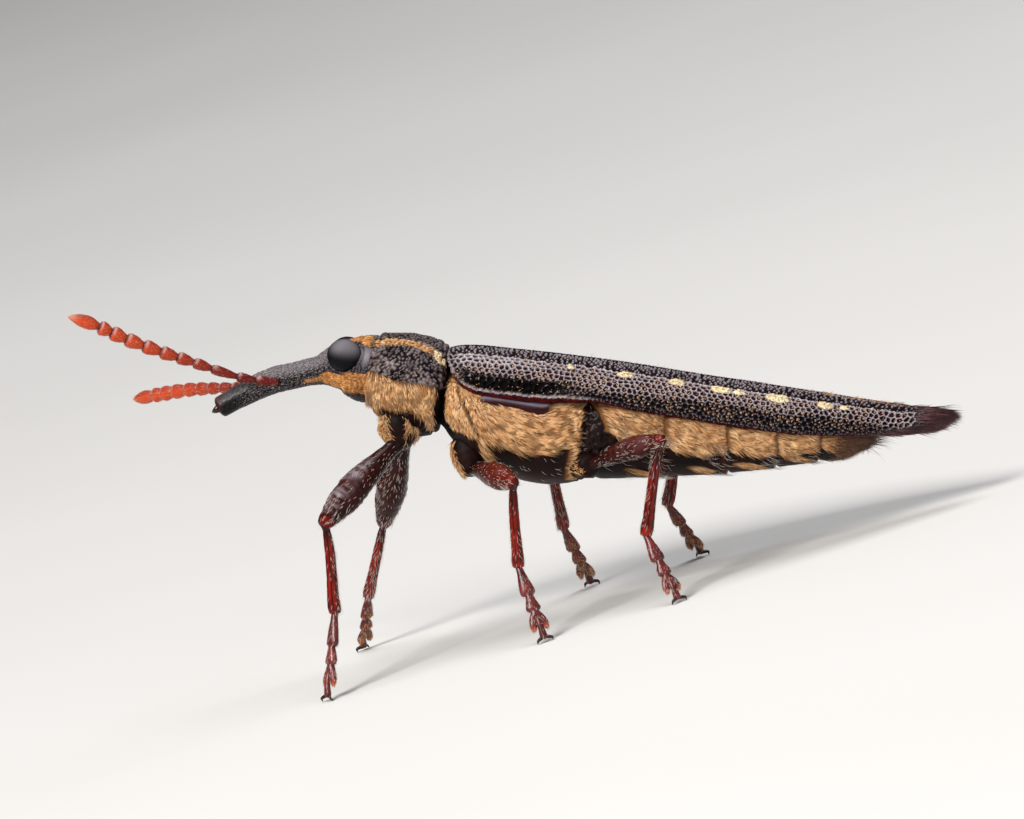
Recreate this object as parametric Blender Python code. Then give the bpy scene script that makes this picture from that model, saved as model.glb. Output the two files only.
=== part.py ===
"""Rhinotia lineata, a slender belid weevil, life size, standing still on a level floor.

Tables are in millimetres and meshes are made in metres. The trunk is laid out in its own
frame: X runs back along the wing cases, Y to the animal's right, Z up out of its back, with
the origin at the front end of the wing cases. An empty tilts that frame head up above the
floor. Legs are laid out in the floor's frame, with the floor at Z 0.
"""

import math

import bmesh
import bpy
from mathutils import Matrix, Vector

MM = 0.001
GAP = 0.15
WELD = 0.00001

# How the trunk stands above the floor: head up, tail low, and a little higher on its left side.
TRUNK_PITCH = math.radians(23.0)
TRUNK_ROLL = math.radians(-5.0)
TRUNK_HEIGHT = 7.8
TRUNK_ASIDE = 0.16

# Stations: x, half width, top, level of the widest part, bottom, squareness above and below.
HEAD = [
    (-3.38, 0.40, -0.74, -1.08, -1.44, 2.0, 2.0),
    (-3.10, 0.52, -0.50, -1.02, -1.50, 2.0, 2.0),
    (-2.78, 0.68, -0.22, -0.92, -1.58, 2.0, 2.0),
    (-2.45, 0.78, -0.08, -0.90, -1.70, 2.1, 2.1),
    (-2.20, 0.82, -0.03, -0.92, -1.80, 2.2, 2.2),
]
PROTHORAX = [
    (-2.02, 0.86, -0.01, -0.92, -1.80, 2.1, 2.1),
    (-1.70, 1.10, 0.10, -1.00, -2.08, 2.1, 2.2),
    (-1.20, 1.30, 0.17, -1.10, -2.32, 2.2, 2.2),
    (-0.75, 1.40, 0.16, -1.15, -2.48, 2.2, 2.2),
    (-0.30, 1.36, 0.08, -1.15, -2.46, 2.2, 2.2),
    (-0.08, 1.22, 0.00, -1.15, -2.34, 2.2, 2.2),
]
THORAX = [
    (0.12, 0.98, -0.62, -1.35, -2.15, 2.2, 2.2),
    (0.45, 1.34, -0.72, -1.55, -2.50, 2.2, 2.2),
    (1.10, 1.58, -0.80, -1.75, -3.00, 2.3, 2.2),
    (2.10, 1.67, -0.80, -1.90, -3.30, 2.3, 2.2),
    (3.00, 1.67, -0.80, -1.90, -3.36, 2.3, 2.2),
    (3.80, 1.58, -0.80, -1.85, -3.18, 2.3, 2.2),
]
ABDOMEN = [
    (3.98, 1.50, -0.80, -1.72, -3.08, 2.3, 2.3),
    (5.95, 1.50, -0.80, -1.62, -2.78, 2.3, 2.3),
    (7.60, 1.40, -0.85, -1.50, -2.50, 2.3, 2.3),
    (8.90, 1.22, -0.88, -1.40, -2.18, 2.3, 2.3),
    (10.05, 0.96, -0.90, -1.32, -1.88, 2.2, 2.2),
    (10.70, 0.66, -0.92, -1.22, -1.64, 2.2, 2.2),
    (11.15, 0.34, -0.95, -1.14, -1.38, 2.0, 2.0),
]
# Rear edges of the belly plates, each standing a little proud of the next one.
PLATE_EDGES = [5.95, 7.60, 8.90, 10.05]
PLATE_STEP = 0.07

# The back under the wing cases.
THORAX_BACK = [
    (0.16, 0.36, -0.50, -1.20, -1.80, 2.2, 2.2),
    (0.55, 0.76, -0.52, -1.20, -1.80, 2.2, 2.2),
    (1.10, 1.08, -0.52, -1.20, -1.80, 2.4, 2.2),
    (2.40, 1.18, -0.46, -1.20, -1.80, 2.6, 2.2),
    (3.80, 1.18, -0.46, -1.20, -1.80, 2.6, 2.2),
]
ABDOMEN_BACK = [
    (3.98, 1.18, -0.46, -1.20, -1.80, 2.6, 2.2),
    (6.50, 1.18, -0.50, -1.20, -1.80, 2.6, 2.2),
    (8.60, 1.04, -0.56, -1.15, -1.60, 2.4, 2.2),
    (10.00, 0.78, -0.64, -1.10, -1.50, 2.2, 2.2),
    (10.70, 0.46, -0.74, -1.08, -1.36, 2.2, 2.2),
]
# Both wing cases together, closed below by a nearly flat floor at the level of their side edges.
WING_CASES = [
    (0.04, 0.98, -0.04, -0.30, -0.44, 2.3, 3.0),
    (0.30, 1.42, 0.04, -0.48, -0.90, 2.4, 3.5),
    (0.80, 1.68, 0.10, -0.60, -1.17, 2.5, 4.0),
    (1.60, 1.75, 0.12, -0.65, -1.22, 2.6, 4.5),
    (2.70, 1.76, 0.14, -0.65, -1.18, 2.6, 4.5),
    (3.70, 1.76, 0.14, -0.62, -1.03, 2.6, 4.5),
    (4.30, 1.77, 0.13, -0.60, -0.99, 2.6, 4.5),
    (5.40, 1.78, 0.10, -0.62, -1.09, 2.6, 4.5),
    (6.80, 1.76, 0.05, -0.64, -1.16, 2.6, 4.5),
    (8.30, 1.66, 0.01, -0.66, -1.21, 2.6, 4.5),
    (9.70, 1.46, -0.03, -0.66, -1.20, 2.5, 4.0),
    (10.90, 1.16, -0.07, -0.62, -1.08, 2.4, 3.5),
    (12.00, 0.80, -0.10, -0.52, -0.90, 2.2, 3.0),
    (12.70, 0.52, -0.11, -0.40, -0.72, 2.0, 2.5),
    (13.00, 0.34, -0.15, -0.34, -0.58, 2.0, 2.0),
]

EYE_CENTRE = (-2.74, 0.60, -0.58)
EYE_RADII = (0.46, 0.34, 0.44)
SCUTELLUM_CENTRE = (0.36, 0.0, -0.36)
SCUTELLUM_RADII = (0.26, 0.20, 0.42)

# The snout: points down its middle in the trunk's frame, with a radius at each.
SNOUT = [
    ((-3.20, 0, -1.09), 0.38),
    ((-3.60, 0, -1.18), 0.35),
    ((-4.10, 0, -1.34), 0.33),
    ((-4.55, 0, -1.50), 0.335),
    ((-4.95, 0, -1.72), 0.33),
    ((-5.45, 0, -2.06), 0.30),
    ((-5.88, 0, -2.38), 0.30),
    ((-5.99, 0, -2.46), 0.22),
]
JAW_CENTRE = (-5.99, 0.12, -2.47)
JAW_RADII = (0.20, 0.12, 0.15)

# Feelers: eleven joints from the base out, each a length and the radius of its far end.
FEELER_JOINTS = [
    (0.60, 0.23),
    (0.50, 0.22),
    (0.72, 0.22),
    (0.49, 0.24),
    (0.46, 0.25),
    (0.46, 0.26),
    (0.49, 0.27),
    (0.49, 0.27),
    (0.43, 0.27),
    (0.35, 0.26),
    (0.84, 0.25),
]
FEELER_WAIST = 0.80
FEELER_TIP = 0.06
FEELER_LEFT = [
    (-4.44, -0.25, -1.53),
    (-5.44, -0.53, -1.50),
    (-6.77, -0.92, -1.22),
    (-8.19, -1.35, -0.89),
    (-9.38, -1.72, -0.51),
    (-10.05, -1.90, -0.37),
]
FEELER_RIGHT = [
    (-4.44, 0.25, -1.53),
    (-5.10, 0.93, -1.73),
    (-5.79, 1.60, -1.94),
    (-7.15, 3.01, -2.27),
    (-8.59, 4.46, -2.78),
]

# Coxa tops in the trunk's frame, on the right side; the left side mirrors them.
COXA_TOPS = {
    "front": (-1.10, 0.50, -2.05),
    "middle": (0.78, 0.62, -2.45),
    "hind": (3.72, 0.72, -2.55),
}
# Joints of each leg in the floor's frame: end of the coxa, knee, ankle and toe.
LEG_JOINTS = {
    "front_left": ((-1.91, -0.85, 5.84), (-4.25, -2.60, 4.49), (-4.65, -2.90, 2.15), (-5.42, -3.60, 0)),
    "middle_left": ((-0.31, -1.00, 4.63), (0.88, -2.90, 4.18), (0.42, -3.25, 2.05), (0.62, -3.95, 0)),
    "hind_left": ((2.78, -1.45, 3.89), (4.94, -2.60, 4.16), (3.87, -2.90, 1.88), (4.28, -3.60, 0)),
    "front_right": ((-1.91, 0.85, 5.70), (-3.40, 3.00, 3.35), (-4.45, 3.40, 1.45), (-5.05, 3.95, 0)),
    "middle_right": ((-0.31, 1.00, 4.63), (1.50, 2.70, 4.05), (1.20, 3.15, 1.85), (1.42, 3.90, 0)),
    "hind_right": ((2.78, 1.45, 3.89), (5.30, 2.55, 4.05), (4.10, 2.95, 1.72), (4.55, 3.65, 0)),
}
COXA_RADII = {
    "front": (0.50, 0.56, 0.46, 0.32),
    "middle": (0.42, 0.46, 0.40, 0.30),
    "hind": (0.44, 0.46, 0.38, 0.30),
}
FEMUR_BULGE = {"front": 0.45, "middle": 0.40, "hind": 0.38}
FEMUR_PROFILE = [(0.00, 0.55), (0.12, 0.62), (0.35, 0.86), (0.60, 1.00), (0.80, 0.86), (0.94, 0.74), (1.0, 0.55)]
TIBIA_PROFILE = [(0.00, 0.22), (0.10, 0.25), (0.45, 0.25), (0.85, 0.27), (1.0, 0.28)]
# Tarsal joints as shares of the way from ankle to toe, with the radius at each end.
TARSUS_JOINTS = [(0.02, 0.36, 0.20, 0.27), (0.33, 0.57, 0.19, 0.26), (0.55, 0.90, 0.20, 0.18)]
LOBE_AT = 0.64
LOBE_RADII = (0.33, 0.18, 0.16)
LOBE_SPREAD = 0.165
CLAW_FROM = 0.84
CLAW_ROOTS = 0.07
CLAW_SPREAD = 0.24
CLAW_RADII = (0.16, 0.14, 0.10)

# The brush of coarse bristles that ends each wing case, as tapered locks.
BRUSH_ROOTS = [(12.60, 0.26, -0.26), (12.66, 0.24, -0.42), (12.55, 0.30, -0.56), (12.70, 0.20, -0.20)]
BRUSH_TIPS = [(13.62, 0.32, -0.18), (13.62, 0.22, -0.34), (13.38, 0.26, -0.54), (13.54, 0.14, -0.14)]
BRUSH_RADII = (0.20, 0.19, 0.15, 0.05)

COLOURS = {
    "head": ((0.035, 0.030, 0.032), 0.55),
    "snout": ((0.030, 0.026, 0.028), 0.45),
    "eye": ((0.012, 0.012, 0.014), 0.18),
    "feeler": ((0.42, 0.070, 0.025), 0.40),
    "prothorax": ((0.040, 0.033, 0.034), 0.60),
    "thorax": ((0.58, 0.34, 0.15), 0.75),
    "abdomen": ((0.50, 0.28, 0.12), 0.70),
    "wing_case": ((0.045, 0.042, 0.052), 0.45),
    "coxa": ((0.05, 0.028, 0.024), 0.45),
    "femur": ((0.070, 0.014, 0.012), 0.35),
    "tibia": ((0.20, 0.016, 0.010), 0.30),
    "tarsus": ((0.26, 0.055, 0.040), 0.45),
}


def clear_scene():
    for obj in list(bpy.data.objects):
        bpy.data.objects.remove(obj, do_unlink=True)


def new_collection(name, shown=True):
    collection = bpy.data.collections.new(name)
    collection.hide_render = not shown
    bpy.context.scene.collection.children.link(collection)
    return collection


def add_mesh(name, mesh, collection, frame=None):
    obj = bpy.data.objects.new(name, mesh)
    collection.objects.link(obj)
    obj.parent = frame
    return obj


def mesh_of(name, bm):
    bmesh.ops.recalc_face_normals(bm, faces=bm.faces)
    mesh = bpy.data.meshes.new(name)
    bm.to_mesh(mesh)
    bm.free()
    return mesh


def smooth_rows(rows, steps):
    """Rows of numbers read between by a Catmull-Rom curve, each span in that many steps."""
    out = []
    for i in range(len(rows) - 1):
        before, start = rows[max(i - 1, 0)], rows[i]
        end, after = rows[i + 1], rows[min(i + 2, len(rows) - 1)]
        for step in range(steps):
            t = step / steps
            out.append(tuple(catmull_rom(*four, t) for four in zip(before, start, end, after)))
    return out + [tuple(rows[-1])]


def catmull_rom(a, b, c, d, t):
    return 0.5 * (2 * b + (c - a) * t + (2 * a - 5 * b + 4 * c - d) * t**2 + (3 * b - a - 3 * c + d) * t**3)


def section(station, sides, grow):
    """One closed ring of the trunk, a superellipse with its own squareness above and below."""
    x, half_width, top, wide, bottom, square_above, square_below = station
    ring = []
    for i in range(sides):
        angle = math.tau * (i + 0.5) / sides
        side, up = math.sin(angle), math.cos(angle)
        power = 2 / (square_above if up >= 0 else square_below)
        reach = top + grow - wide if up >= 0 else wide - bottom + grow
        y = (half_width + grow) * math.copysign(abs(side) ** power, side)
        z = wide + reach * math.copysign(abs(up) ** power, up)
        ring.append(Vector((x, y, z)) * MM)
    return ring


def loft(name, stations, collection, frame, sides=24, steps=2, grow=0.0):
    """A closed body through the stations. Its ends stand flat, and grow moves its skin outwards."""
    rows = [list(row) for row in smooth_rows(stations, steps)]
    rows[0][0] -= grow
    rows[-1][0] += grow
    return skin_rings(name, [section(row, sides, grow) for row in rows], collection, frame)


def skin_rings(name, rings, collection, frame):
    bm = bmesh.new()
    loops = [[bm.verts.new(point) for point in ring] for ring in rings]
    for near, far in zip(loops, loops[1:]):
        for i in range(len(near)):
            j = (i + 1) % len(near)
            bm.faces.new((near[i], near[j], far[j], far[i]))
    bm.faces.new(loops[0])
    bm.faces.new(loops[-1])
    return add_mesh(name, mesh_of(name, bm), collection, frame)


def ellipsoid(name, centre, radii, collection, frame, grow=0.0, turn=None, sides=14, rings=8):
    bm = bmesh.new()
    bmesh.ops.create_uvsphere(bm, u_segments=sides, v_segments=rings, radius=MM)
    scale = Matrix.Diagonal([radius + grow for radius in radii] + [1.0])
    place = Matrix.Translation(Vector(centre) * MM) @ (turn or Matrix.Identity(4)) @ scale
    bmesh.ops.transform(bm, matrix=place, verts=bm.verts)
    return add_mesh(name, mesh_of(name, bm), collection, frame)


def tube(name, points, radii, collection, frame, grow=0.0, resolution=2):
    """A round bar along the points with a radius at each, made as a bevelled curve and then a mesh."""
    points = [Vector(point) for point in points]
    points[0] -= (points[1] - points[0]).normalized() * grow
    points[-1] += (points[-1] - points[-2]).normalized() * grow
    curve = bpy.data.curves.new(name, "CURVE")
    curve.dimensions = "3D"
    curve.bevel_depth = MM
    curve.bevel_resolution = resolution
    curve.use_fill_caps = True
    spline = curve.splines.new("POLY")
    spline.points.add(len(points) - 1)
    for knot, point, radius in zip(spline.points, points, radii):
        knot.co = (*(point * MM), 1.0)
        knot.radius = radius + grow
    source = add_mesh(name + "_curve", curve, collection, frame)
    bpy.context.view_layer.update()
    graph = bpy.context.evaluated_depsgraph_get()
    mesh = bpy.data.meshes.new_from_object(source.evaluated_get(graph))
    bpy.data.objects.remove(source)
    bpy.data.curves.remove(curve)
    bm = bmesh.new()
    bm.from_mesh(mesh)
    bpy.data.meshes.remove(mesh)
    bmesh.ops.remove_doubles(bm, verts=bm.verts, dist=WELD / 10)
    return add_mesh(name, mesh_of(name, bm), collection, frame)


def apply_modifiers(obj):
    bpy.context.view_layer.update()
    graph = bpy.context.evaluated_depsgraph_get()
    mesh = bpy.data.meshes.new_from_object(obj.evaluated_get(graph))
    obj.modifiers.clear()
    obj.data = mesh
    mesh.name = obj.name


def union(obj, others):
    """Fuses the other objects into obj, and removes them."""
    pieces = bpy.data.collections.new(obj.name + "_pieces")
    bpy.context.scene.collection.children.link(pieces)
    for other in others:
        pieces.objects.link(other)
    modifier = obj.modifiers.new("fuse", "BOOLEAN")
    modifier.operation = "UNION"
    modifier.operand_type = "COLLECTION"
    modifier.collection = pieces
    modifier.solver = "EXACT"
    apply_modifiers(obj)
    for other in others:
        bpy.data.objects.remove(other)
    bpy.data.collections.remove(pieces)
    return obj


def cut(obj, cutters):
    """Takes the cutters away from obj and keeps the largest closed surface that is left."""
    for cutter in cutters:
        cutter.hide_render = True
        cutter.display_type = "WIRE"
        modifier = obj.modifiers.new("cut_" + cutter.name, "BOOLEAN")
        modifier.operation = "DIFFERENCE"
        modifier.object = cutter
        modifier.solver = "EXACT"
    apply_modifiers(obj)
    keep_largest(obj.data)
    for cutter in cutters:
        bpy.data.objects.remove(cutter)
    return obj


def keep_largest(mesh):
    bm = bmesh.new()
    bm.from_mesh(mesh)
    bmesh.ops.dissolve_degenerate(bm, edges=bm.edges, dist=WELD / 10)
    unseen = set(bm.verts)
    islands = []
    while unseen:
        island, frontier = set(), [unseen.pop()]
        while frontier:
            vert = frontier.pop()
            island.add(vert)
            near = {edge.other_vert(vert) for edge in vert.link_edges} & unseen
            unseen -= near
            frontier.extend(near)
        islands.append(island)
    islands.sort(key=len)
    for island in islands[:-1]:
        bmesh.ops.delete(bm, geom=list(island), context="VERTS")
    bm.to_mesh(mesh)
    bm.free()


def stepped_plates(stations):
    """The belly's stations with a small drop behind the rear edge of each plate."""
    rows = smooth_rows(stations, 4)
    out = []
    for x, half_width, top, wide, bottom, above, below in rows:
        front = max([edge for edge in PLATE_EDGES if edge < x - 0.01], default=stations[0][0])
        back = min([edge for edge in PLATE_EDGES if edge >= x - 0.01], default=stations[-1][0])
        proud = PLATE_STEP * (x - front) / (back - front) - PLATE_STEP / 2
        out.append((x, half_width + proud / 2, top, wide, bottom - proud, above, below))
        if any(abs(x - edge) < 0.01 for edge in PLATE_EDGES):
            lower = PLATE_STEP / 2
            out.append((x + 0.06, half_width - lower / 2, top, wide, bottom + lower, above, below))
    return out


def mirrored(point):
    return (point[0], -point[1], point[2])


class Weevil:
    """Builds every node of the animal, from the head back and then the legs."""

    def __init__(self):
        self.parts = new_collection("rhinotia_lineata")
        self.cutters = new_collection("cutters", shown=False)
        self.floor = bpy.data.objects.new("floor_frame", None)
        self.parts.objects.link(self.floor)
        self.trunk = bpy.data.objects.new("trunk_frame", None)
        self.parts.objects.link(self.trunk)
        self.trunk.parent = self.floor
        self.trunk.location = (0, TRUNK_ASIDE * MM, TRUNK_HEIGHT * MM)
        self.trunk.rotation_euler = (TRUNK_ROLL, TRUNK_PITCH, 0)
        bpy.context.view_layer.update()

    def to_trunk(self, point):
        """A point of the floor's frame in the trunk's frame, both in millimetres."""
        return self.trunk.matrix_local.inverted() @ (Vector(point) * MM) / MM

    def to_floor(self, point):
        return self.trunk.matrix_local @ (Vector(point) * MM) / MM

    def trunk_loft(self, name, stations, **options):
        return loft(name, stations, options.pop("collection", self.parts), self.trunk, **options)

    def cutter_loft(self, name, stations, **options):
        return loft(name, stations, self.cutters, self.trunk, grow=GAP, **options)

    def head_and_eyes(self):
        head = self.trunk_loft("head", HEAD, sides=28, steps=3)
        sockets = []
        for side, sign in (("left", -1), ("right", 1)):
            centre = (EYE_CENTRE[0], sign * EYE_CENTRE[1], EYE_CENTRE[2])
            ellipsoid("eye_" + side, centre, EYE_RADII, self.parts, self.trunk, sides=20, rings=12)
            sockets.append(ellipsoid("socket_" + side, centre, EYE_RADII, self.cutters, self.trunk, GAP))
        cut(head, sockets)

    def snout(self):
        points, radii = zip(*SNOUT)
        snout = tube("rostrum", points, radii, self.parts, self.trunk, resolution=4)
        jaws = [
            ellipsoid("jaw", (JAW_CENTRE[0], sign * JAW_CENTRE[1], JAW_CENTRE[2]), JAW_RADII, self.parts, self.trunk)
            for sign in (-1, 1)
        ]
        union(snout, jaws)
        cut(snout, [self.cutter_loft("head_grown", HEAD, sides=28, steps=3)])

    def feelers(self):
        snout_points, snout_radii = zip(*SNOUT)
        for side, path in (("left", FEELER_LEFT), ("right", FEELER_RIGHT)):
            points, radii = feeler_beads(path)
            feeler = tube("antenna_" + side, points, radii, self.parts, self.trunk)
            grown = tube("snout_grown", snout_points, snout_radii, self.cutters, self.trunk, GAP, 4)
            cut(feeler, [grown])

    def trunk_segments(self):
        self.trunk_loft("prothorax", PROTHORAX, sides=28, steps=3)
        thorax = self.trunk_loft("thorax", THORAX, sides=28, steps=3)
        cut(thorax, [self.cutter_loft("cases_grown", WING_CASES, sides=32)])
        back = self.trunk_loft("back", THORAX_BACK, sides=20)
        scutellum = ellipsoid("shield", SCUTELLUM_CENTRE, SCUTELLUM_RADII, self.parts, self.trunk)
        union(thorax, [back, scutellum])
        abdomen = self.trunk_loft("abdomen", stepped_plates(ABDOMEN), sides=28, steps=1)
        cut(abdomen, [self.cutter_loft("cases_grown", WING_CASES, sides=32)])
        union(abdomen, [self.trunk_loft("back", ABDOMEN_BACK, sides=20)])

    def wing_cases(self):
        for side, sign in (("left", -1), ("right", 1)):
            case = self.trunk_loft("elytron_" + side, WING_CASES, sides=40)
            half = bmesh.new()
            half.from_mesh(case.data)
            seam = Vector((0, sign * GAP / 2 * MM, 0))
            sliced = bmesh.ops.bisect_plane(
                half, geom=half.verts[:] + half.edges[:] + half.faces[:], plane_co=seam,
                plane_no=(0, sign, 0), clear_inner=True,
            )
            edges = [part for part in sliced["geom_cut"] if isinstance(part, bmesh.types.BMEdge)]
            bmesh.ops.holes_fill(half, edges=edges)
            half.to_mesh(case.data)
            half.free()
            grown = [
                self.cutter_loft("thorax_back_grown", THORAX_BACK, sides=20),
                self.cutter_loft("abdomen_back_grown", ABDOMEN_BACK, sides=20),
                ellipsoid("shield_grown", SCUTELLUM_CENTRE, SCUTELLUM_RADII, self.cutters, self.trunk, GAP),
            ]
            cut(case, grown)
            union(case, self.brush(sign))

    def brush(self, sign):
        locks = []
        for root, tip in zip(BRUSH_ROOTS, BRUSH_TIPS):
            root = Vector((root[0], sign * root[1], root[2]))
            tip = Vector((tip[0], sign * tip[1], tip[2]))
            points = [root.lerp(tip, share) for share in (0, 0.35, 0.7, 1)]
            locks.append(tube("lock", points, BRUSH_RADII, self.parts, self.trunk, resolution=1))
        return locks

    def coxa(self, key, grow=0.0, collection=None):
        pair, side = key.rsplit("_", 1)
        top = COXA_TOPS[pair] if side == "right" else mirrored(COXA_TOPS[pair])
        top = self.to_floor(top)
        tip = Vector(LEG_JOINTS[key][0])
        points = [top.lerp(tip, share) for share in (0, 0.4, 0.8, 1.1)]
        return tube("coxa_" + key, points, COXA_RADII[pair], collection or self.parts, self.floor, grow)

    def femur(self, key, grow=0.0, collection=None):
        hip, knee = (Vector(point) for point in LEG_JOINTS[key][:2])
        bulge = FEMUR_BULGE[key.rsplit("_", 1)[0]]
        points = [hip.lerp(knee, share) for share, _ in FEMUR_PROFILE]
        radii = [bulge * width for _, width in FEMUR_PROFILE]
        return tube("femur_" + key, points, radii, collection or self.parts, self.floor, grow, 3)

    def tibia(self, key, grow=0.0, collection=None):
        knee, ankle = (Vector(point) for point in LEG_JOINTS[key][1:3])
        points = [knee.lerp(ankle, share) for share, _ in TIBIA_PROFILE]
        radii = [width for _, width in TIBIA_PROFILE]
        return tube("tibia_" + key, points, radii, collection or self.parts, self.floor, grow)

    def tarsus(self, key):
        ankle, toe = (Vector(point) for point in LEG_JOINTS[key][2:4])
        along = (toe - ankle).normalized()
        across = along.cross(Vector((0, 0, 1))).normalized()
        turn = Matrix((along, across, along.cross(across))).transposed().to_4x4()
        pieces = []
        for start, end, thin, thick in TARSUS_JOINTS:
            points = [ankle.lerp(toe, start), ankle.lerp(toe, end)]
            pieces.append(tube("joint", points, (thin, thick), self.parts, self.floor))
        for sign in (-1, 1):
            lobe = ankle.lerp(toe, LOBE_AT) + across * sign * LOBE_SPREAD
            pieces.append(ellipsoid("lobe", lobe, LOBE_RADII, self.parts, self.floor, 0.0, turn, 10, 6))
            start = ankle.lerp(toe, CLAW_FROM) + across * sign * CLAW_ROOTS
            tip = toe + across * sign * CLAW_SPREAD - Vector((0, 0, CLAW_RADII[2]))
            points = [start, start.lerp(tip, 0.5) + across * sign * 0.05, tip]
            pieces.append(tube("claw", points, CLAW_RADII, self.parts, self.floor, resolution=1))
        foot = union(pieces[0], pieces[1:])
        foot.name = "tarsus_" + key
        level_sole(foot.data)
        return foot

    def legs(self):
        for key in LEG_JOINTS:
            pair = key.rsplit("_", 1)[0]
            body = PROTHORAX if pair == "front" else THORAX
            coxa = self.coxa(key)
            cutters = [self.cutter_loft("body_grown", body, sides=28, steps=3)]
            if pair == "hind":
                cutters.append(self.cutter_loft("belly_grown", stepped_plates(ABDOMEN), sides=28, steps=1))
            cut(coxa, cutters)
            femur = self.femur(key)
            cutters = [self.coxa(key, GAP, self.cutters), self.cutter_loft("body_grown", body, sides=28, steps=3)]
            if pair == "hind":
                cutters.append(self.cutter_loft("belly_grown", stepped_plates(ABDOMEN), sides=28, steps=1))
            cut(femur, cutters)
            tibia = self.tibia(key)
            cut(tibia, [self.femur(key, GAP, self.cutters)])
            cut(self.tarsus(key), [self.tibia(key, GAP, self.cutters)])


def feeler_beads(path):
    """Points and radii down a feeler, each joint narrow at its root and wide at its far end."""
    curve = [Vector(row) for row in smooth_rows(path, 8)]
    reach = [0.0]
    for a, b in zip(curve, curve[1:]):
        reach.append(reach[-1] + (b - a).length)

    def at(distance):
        for i, (near, far) in enumerate(zip(reach, reach[1:])):
            if distance <= far or i == len(reach) - 2:
                return curve[i].lerp(curve[i + 1], (distance - near) / (far - near))

    stretch = reach[-1] / sum(length for length, _ in FEELER_JOINTS)
    points, radii, start = [], [], 0.0
    for length, radius in FEELER_JOINTS:
        length *= stretch
        last = start + length > reach[-1] - WELD
        shares = ((0.0, FEELER_WAIST), (0.35, 0.95), (0.85, 1.0))
        if last:
            shares = ((0.0, FEELER_WAIST), (0.30, 1.0), (0.65, 0.80), (1.0, FEELER_TIP / radius))
        for share, width in shares:
            points.append(at(start + share * length))
            radii.append(radius * width)
        start += length
    return points, radii


def level_sole(mesh):
    """Cuts a foot off at the floor, which leaves a small flat under each claw."""
    bm = bmesh.new()
    bm.from_mesh(mesh)
    sliced = bmesh.ops.bisect_plane(
        bm, geom=bm.verts[:] + bm.edges[:] + bm.faces[:], plane_co=(0, 0, 0), plane_no=(0, 0, 1),
        clear_inner=True,
    )
    edges = [part for part in sliced["geom_cut"] if isinstance(part, bmesh.types.BMEdge)]
    bmesh.ops.holes_fill(bm, edges=edges)
    bm.to_mesh(mesh)
    bm.free()


def paint(obj):
    kind = obj.name.rsplit("_", 1)[0] if obj.name.endswith(("_left", "_right")) else obj.name
    kind = {"rostrum": "snout", "antenna": "feeler", "elytron": "wing_case"}.get(kind, kind)
    kind = kind if kind in COLOURS else kind.split("_")[0]
    colour, roughness = COLOURS[kind]
    material = bpy.data.materials.get(kind) or bpy.data.materials.new(kind)
    material.use_nodes = True
    shader = material.node_tree.nodes["Principled BSDF"]
    shader.inputs["Base Color"].default_value = (*colour, 1.0)
    shader.inputs["Roughness"].default_value = roughness
    shader.inputs["Metallic"].default_value = 0.0
    obj.data.materials.clear()
    obj.data.materials.append(material)


def centre_on_floor(parts, floor):
    """Moves the whole animal so that the frame's origin is under the middle of its box."""
    bpy.context.view_layer.update()
    corners = [obj.matrix_world @ vert.co for obj in parts for vert in obj.data.vertices]
    for axis in (0, 1):
        values = [corner[axis] for corner in corners]
        floor.location[axis] -= (min(values) + max(values)) / 2
    bpy.context.view_layer.update()


def main():
    clear_scene()
    weevil = Weevil()
    weevil.head_and_eyes()
    weevil.snout()
    weevil.feelers()
    weevil.trunk_segments()
    weevil.wing_cases()
    weevil.legs()
    parts = [obj for obj in weevil.parts.objects if obj.type == "MESH"]
    for obj in parts:
        paint(obj)
        obj.data.shade_smooth()
        obj.data.set_sharp_from_angle(angle=math.radians(40))
    centre_on_floor(parts, weevil.floor)


main()
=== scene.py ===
"""Looks of a slender belid weevil, Rhinotia lineata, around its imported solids.

Skins are grids of points laid over the same stations as the solids, pushed out or in by small
relief, and coats are short solid strands rooted on those skins. Shapes are in millimetres, in the
trunk's frame or the floor's frame, and become metres as each piece is made.
"""

import math
from itertools import product

import bpy
import numpy as np
from mathutils import Matrix, Vector


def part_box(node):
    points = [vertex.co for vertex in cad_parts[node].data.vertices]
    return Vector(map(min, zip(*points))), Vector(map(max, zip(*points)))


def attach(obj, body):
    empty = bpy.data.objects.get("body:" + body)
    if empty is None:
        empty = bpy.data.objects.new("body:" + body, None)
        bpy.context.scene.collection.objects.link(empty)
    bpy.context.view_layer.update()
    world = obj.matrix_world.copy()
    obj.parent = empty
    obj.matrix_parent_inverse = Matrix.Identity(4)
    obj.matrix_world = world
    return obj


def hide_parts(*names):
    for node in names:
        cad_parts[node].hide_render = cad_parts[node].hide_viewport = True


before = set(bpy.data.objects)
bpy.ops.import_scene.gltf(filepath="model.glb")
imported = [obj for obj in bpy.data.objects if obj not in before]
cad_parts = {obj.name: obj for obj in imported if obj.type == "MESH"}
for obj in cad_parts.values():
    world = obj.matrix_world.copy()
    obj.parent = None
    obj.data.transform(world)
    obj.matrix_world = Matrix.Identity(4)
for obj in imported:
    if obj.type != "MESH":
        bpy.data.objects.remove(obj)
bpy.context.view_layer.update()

MM = 0.001
TAU = math.tau
TRUNK_PITCH = math.radians(23.0)
TRUNK_ROLL = math.radians(-5.0)
TRUNK_HEIGHT = 7.8
TRUNK_ASIDE = 0.16
HANDS = {"left": -1, "right": 1}
# Rings that round off each end of a part of the trunk.
CAP_ROWS = 6

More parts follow.
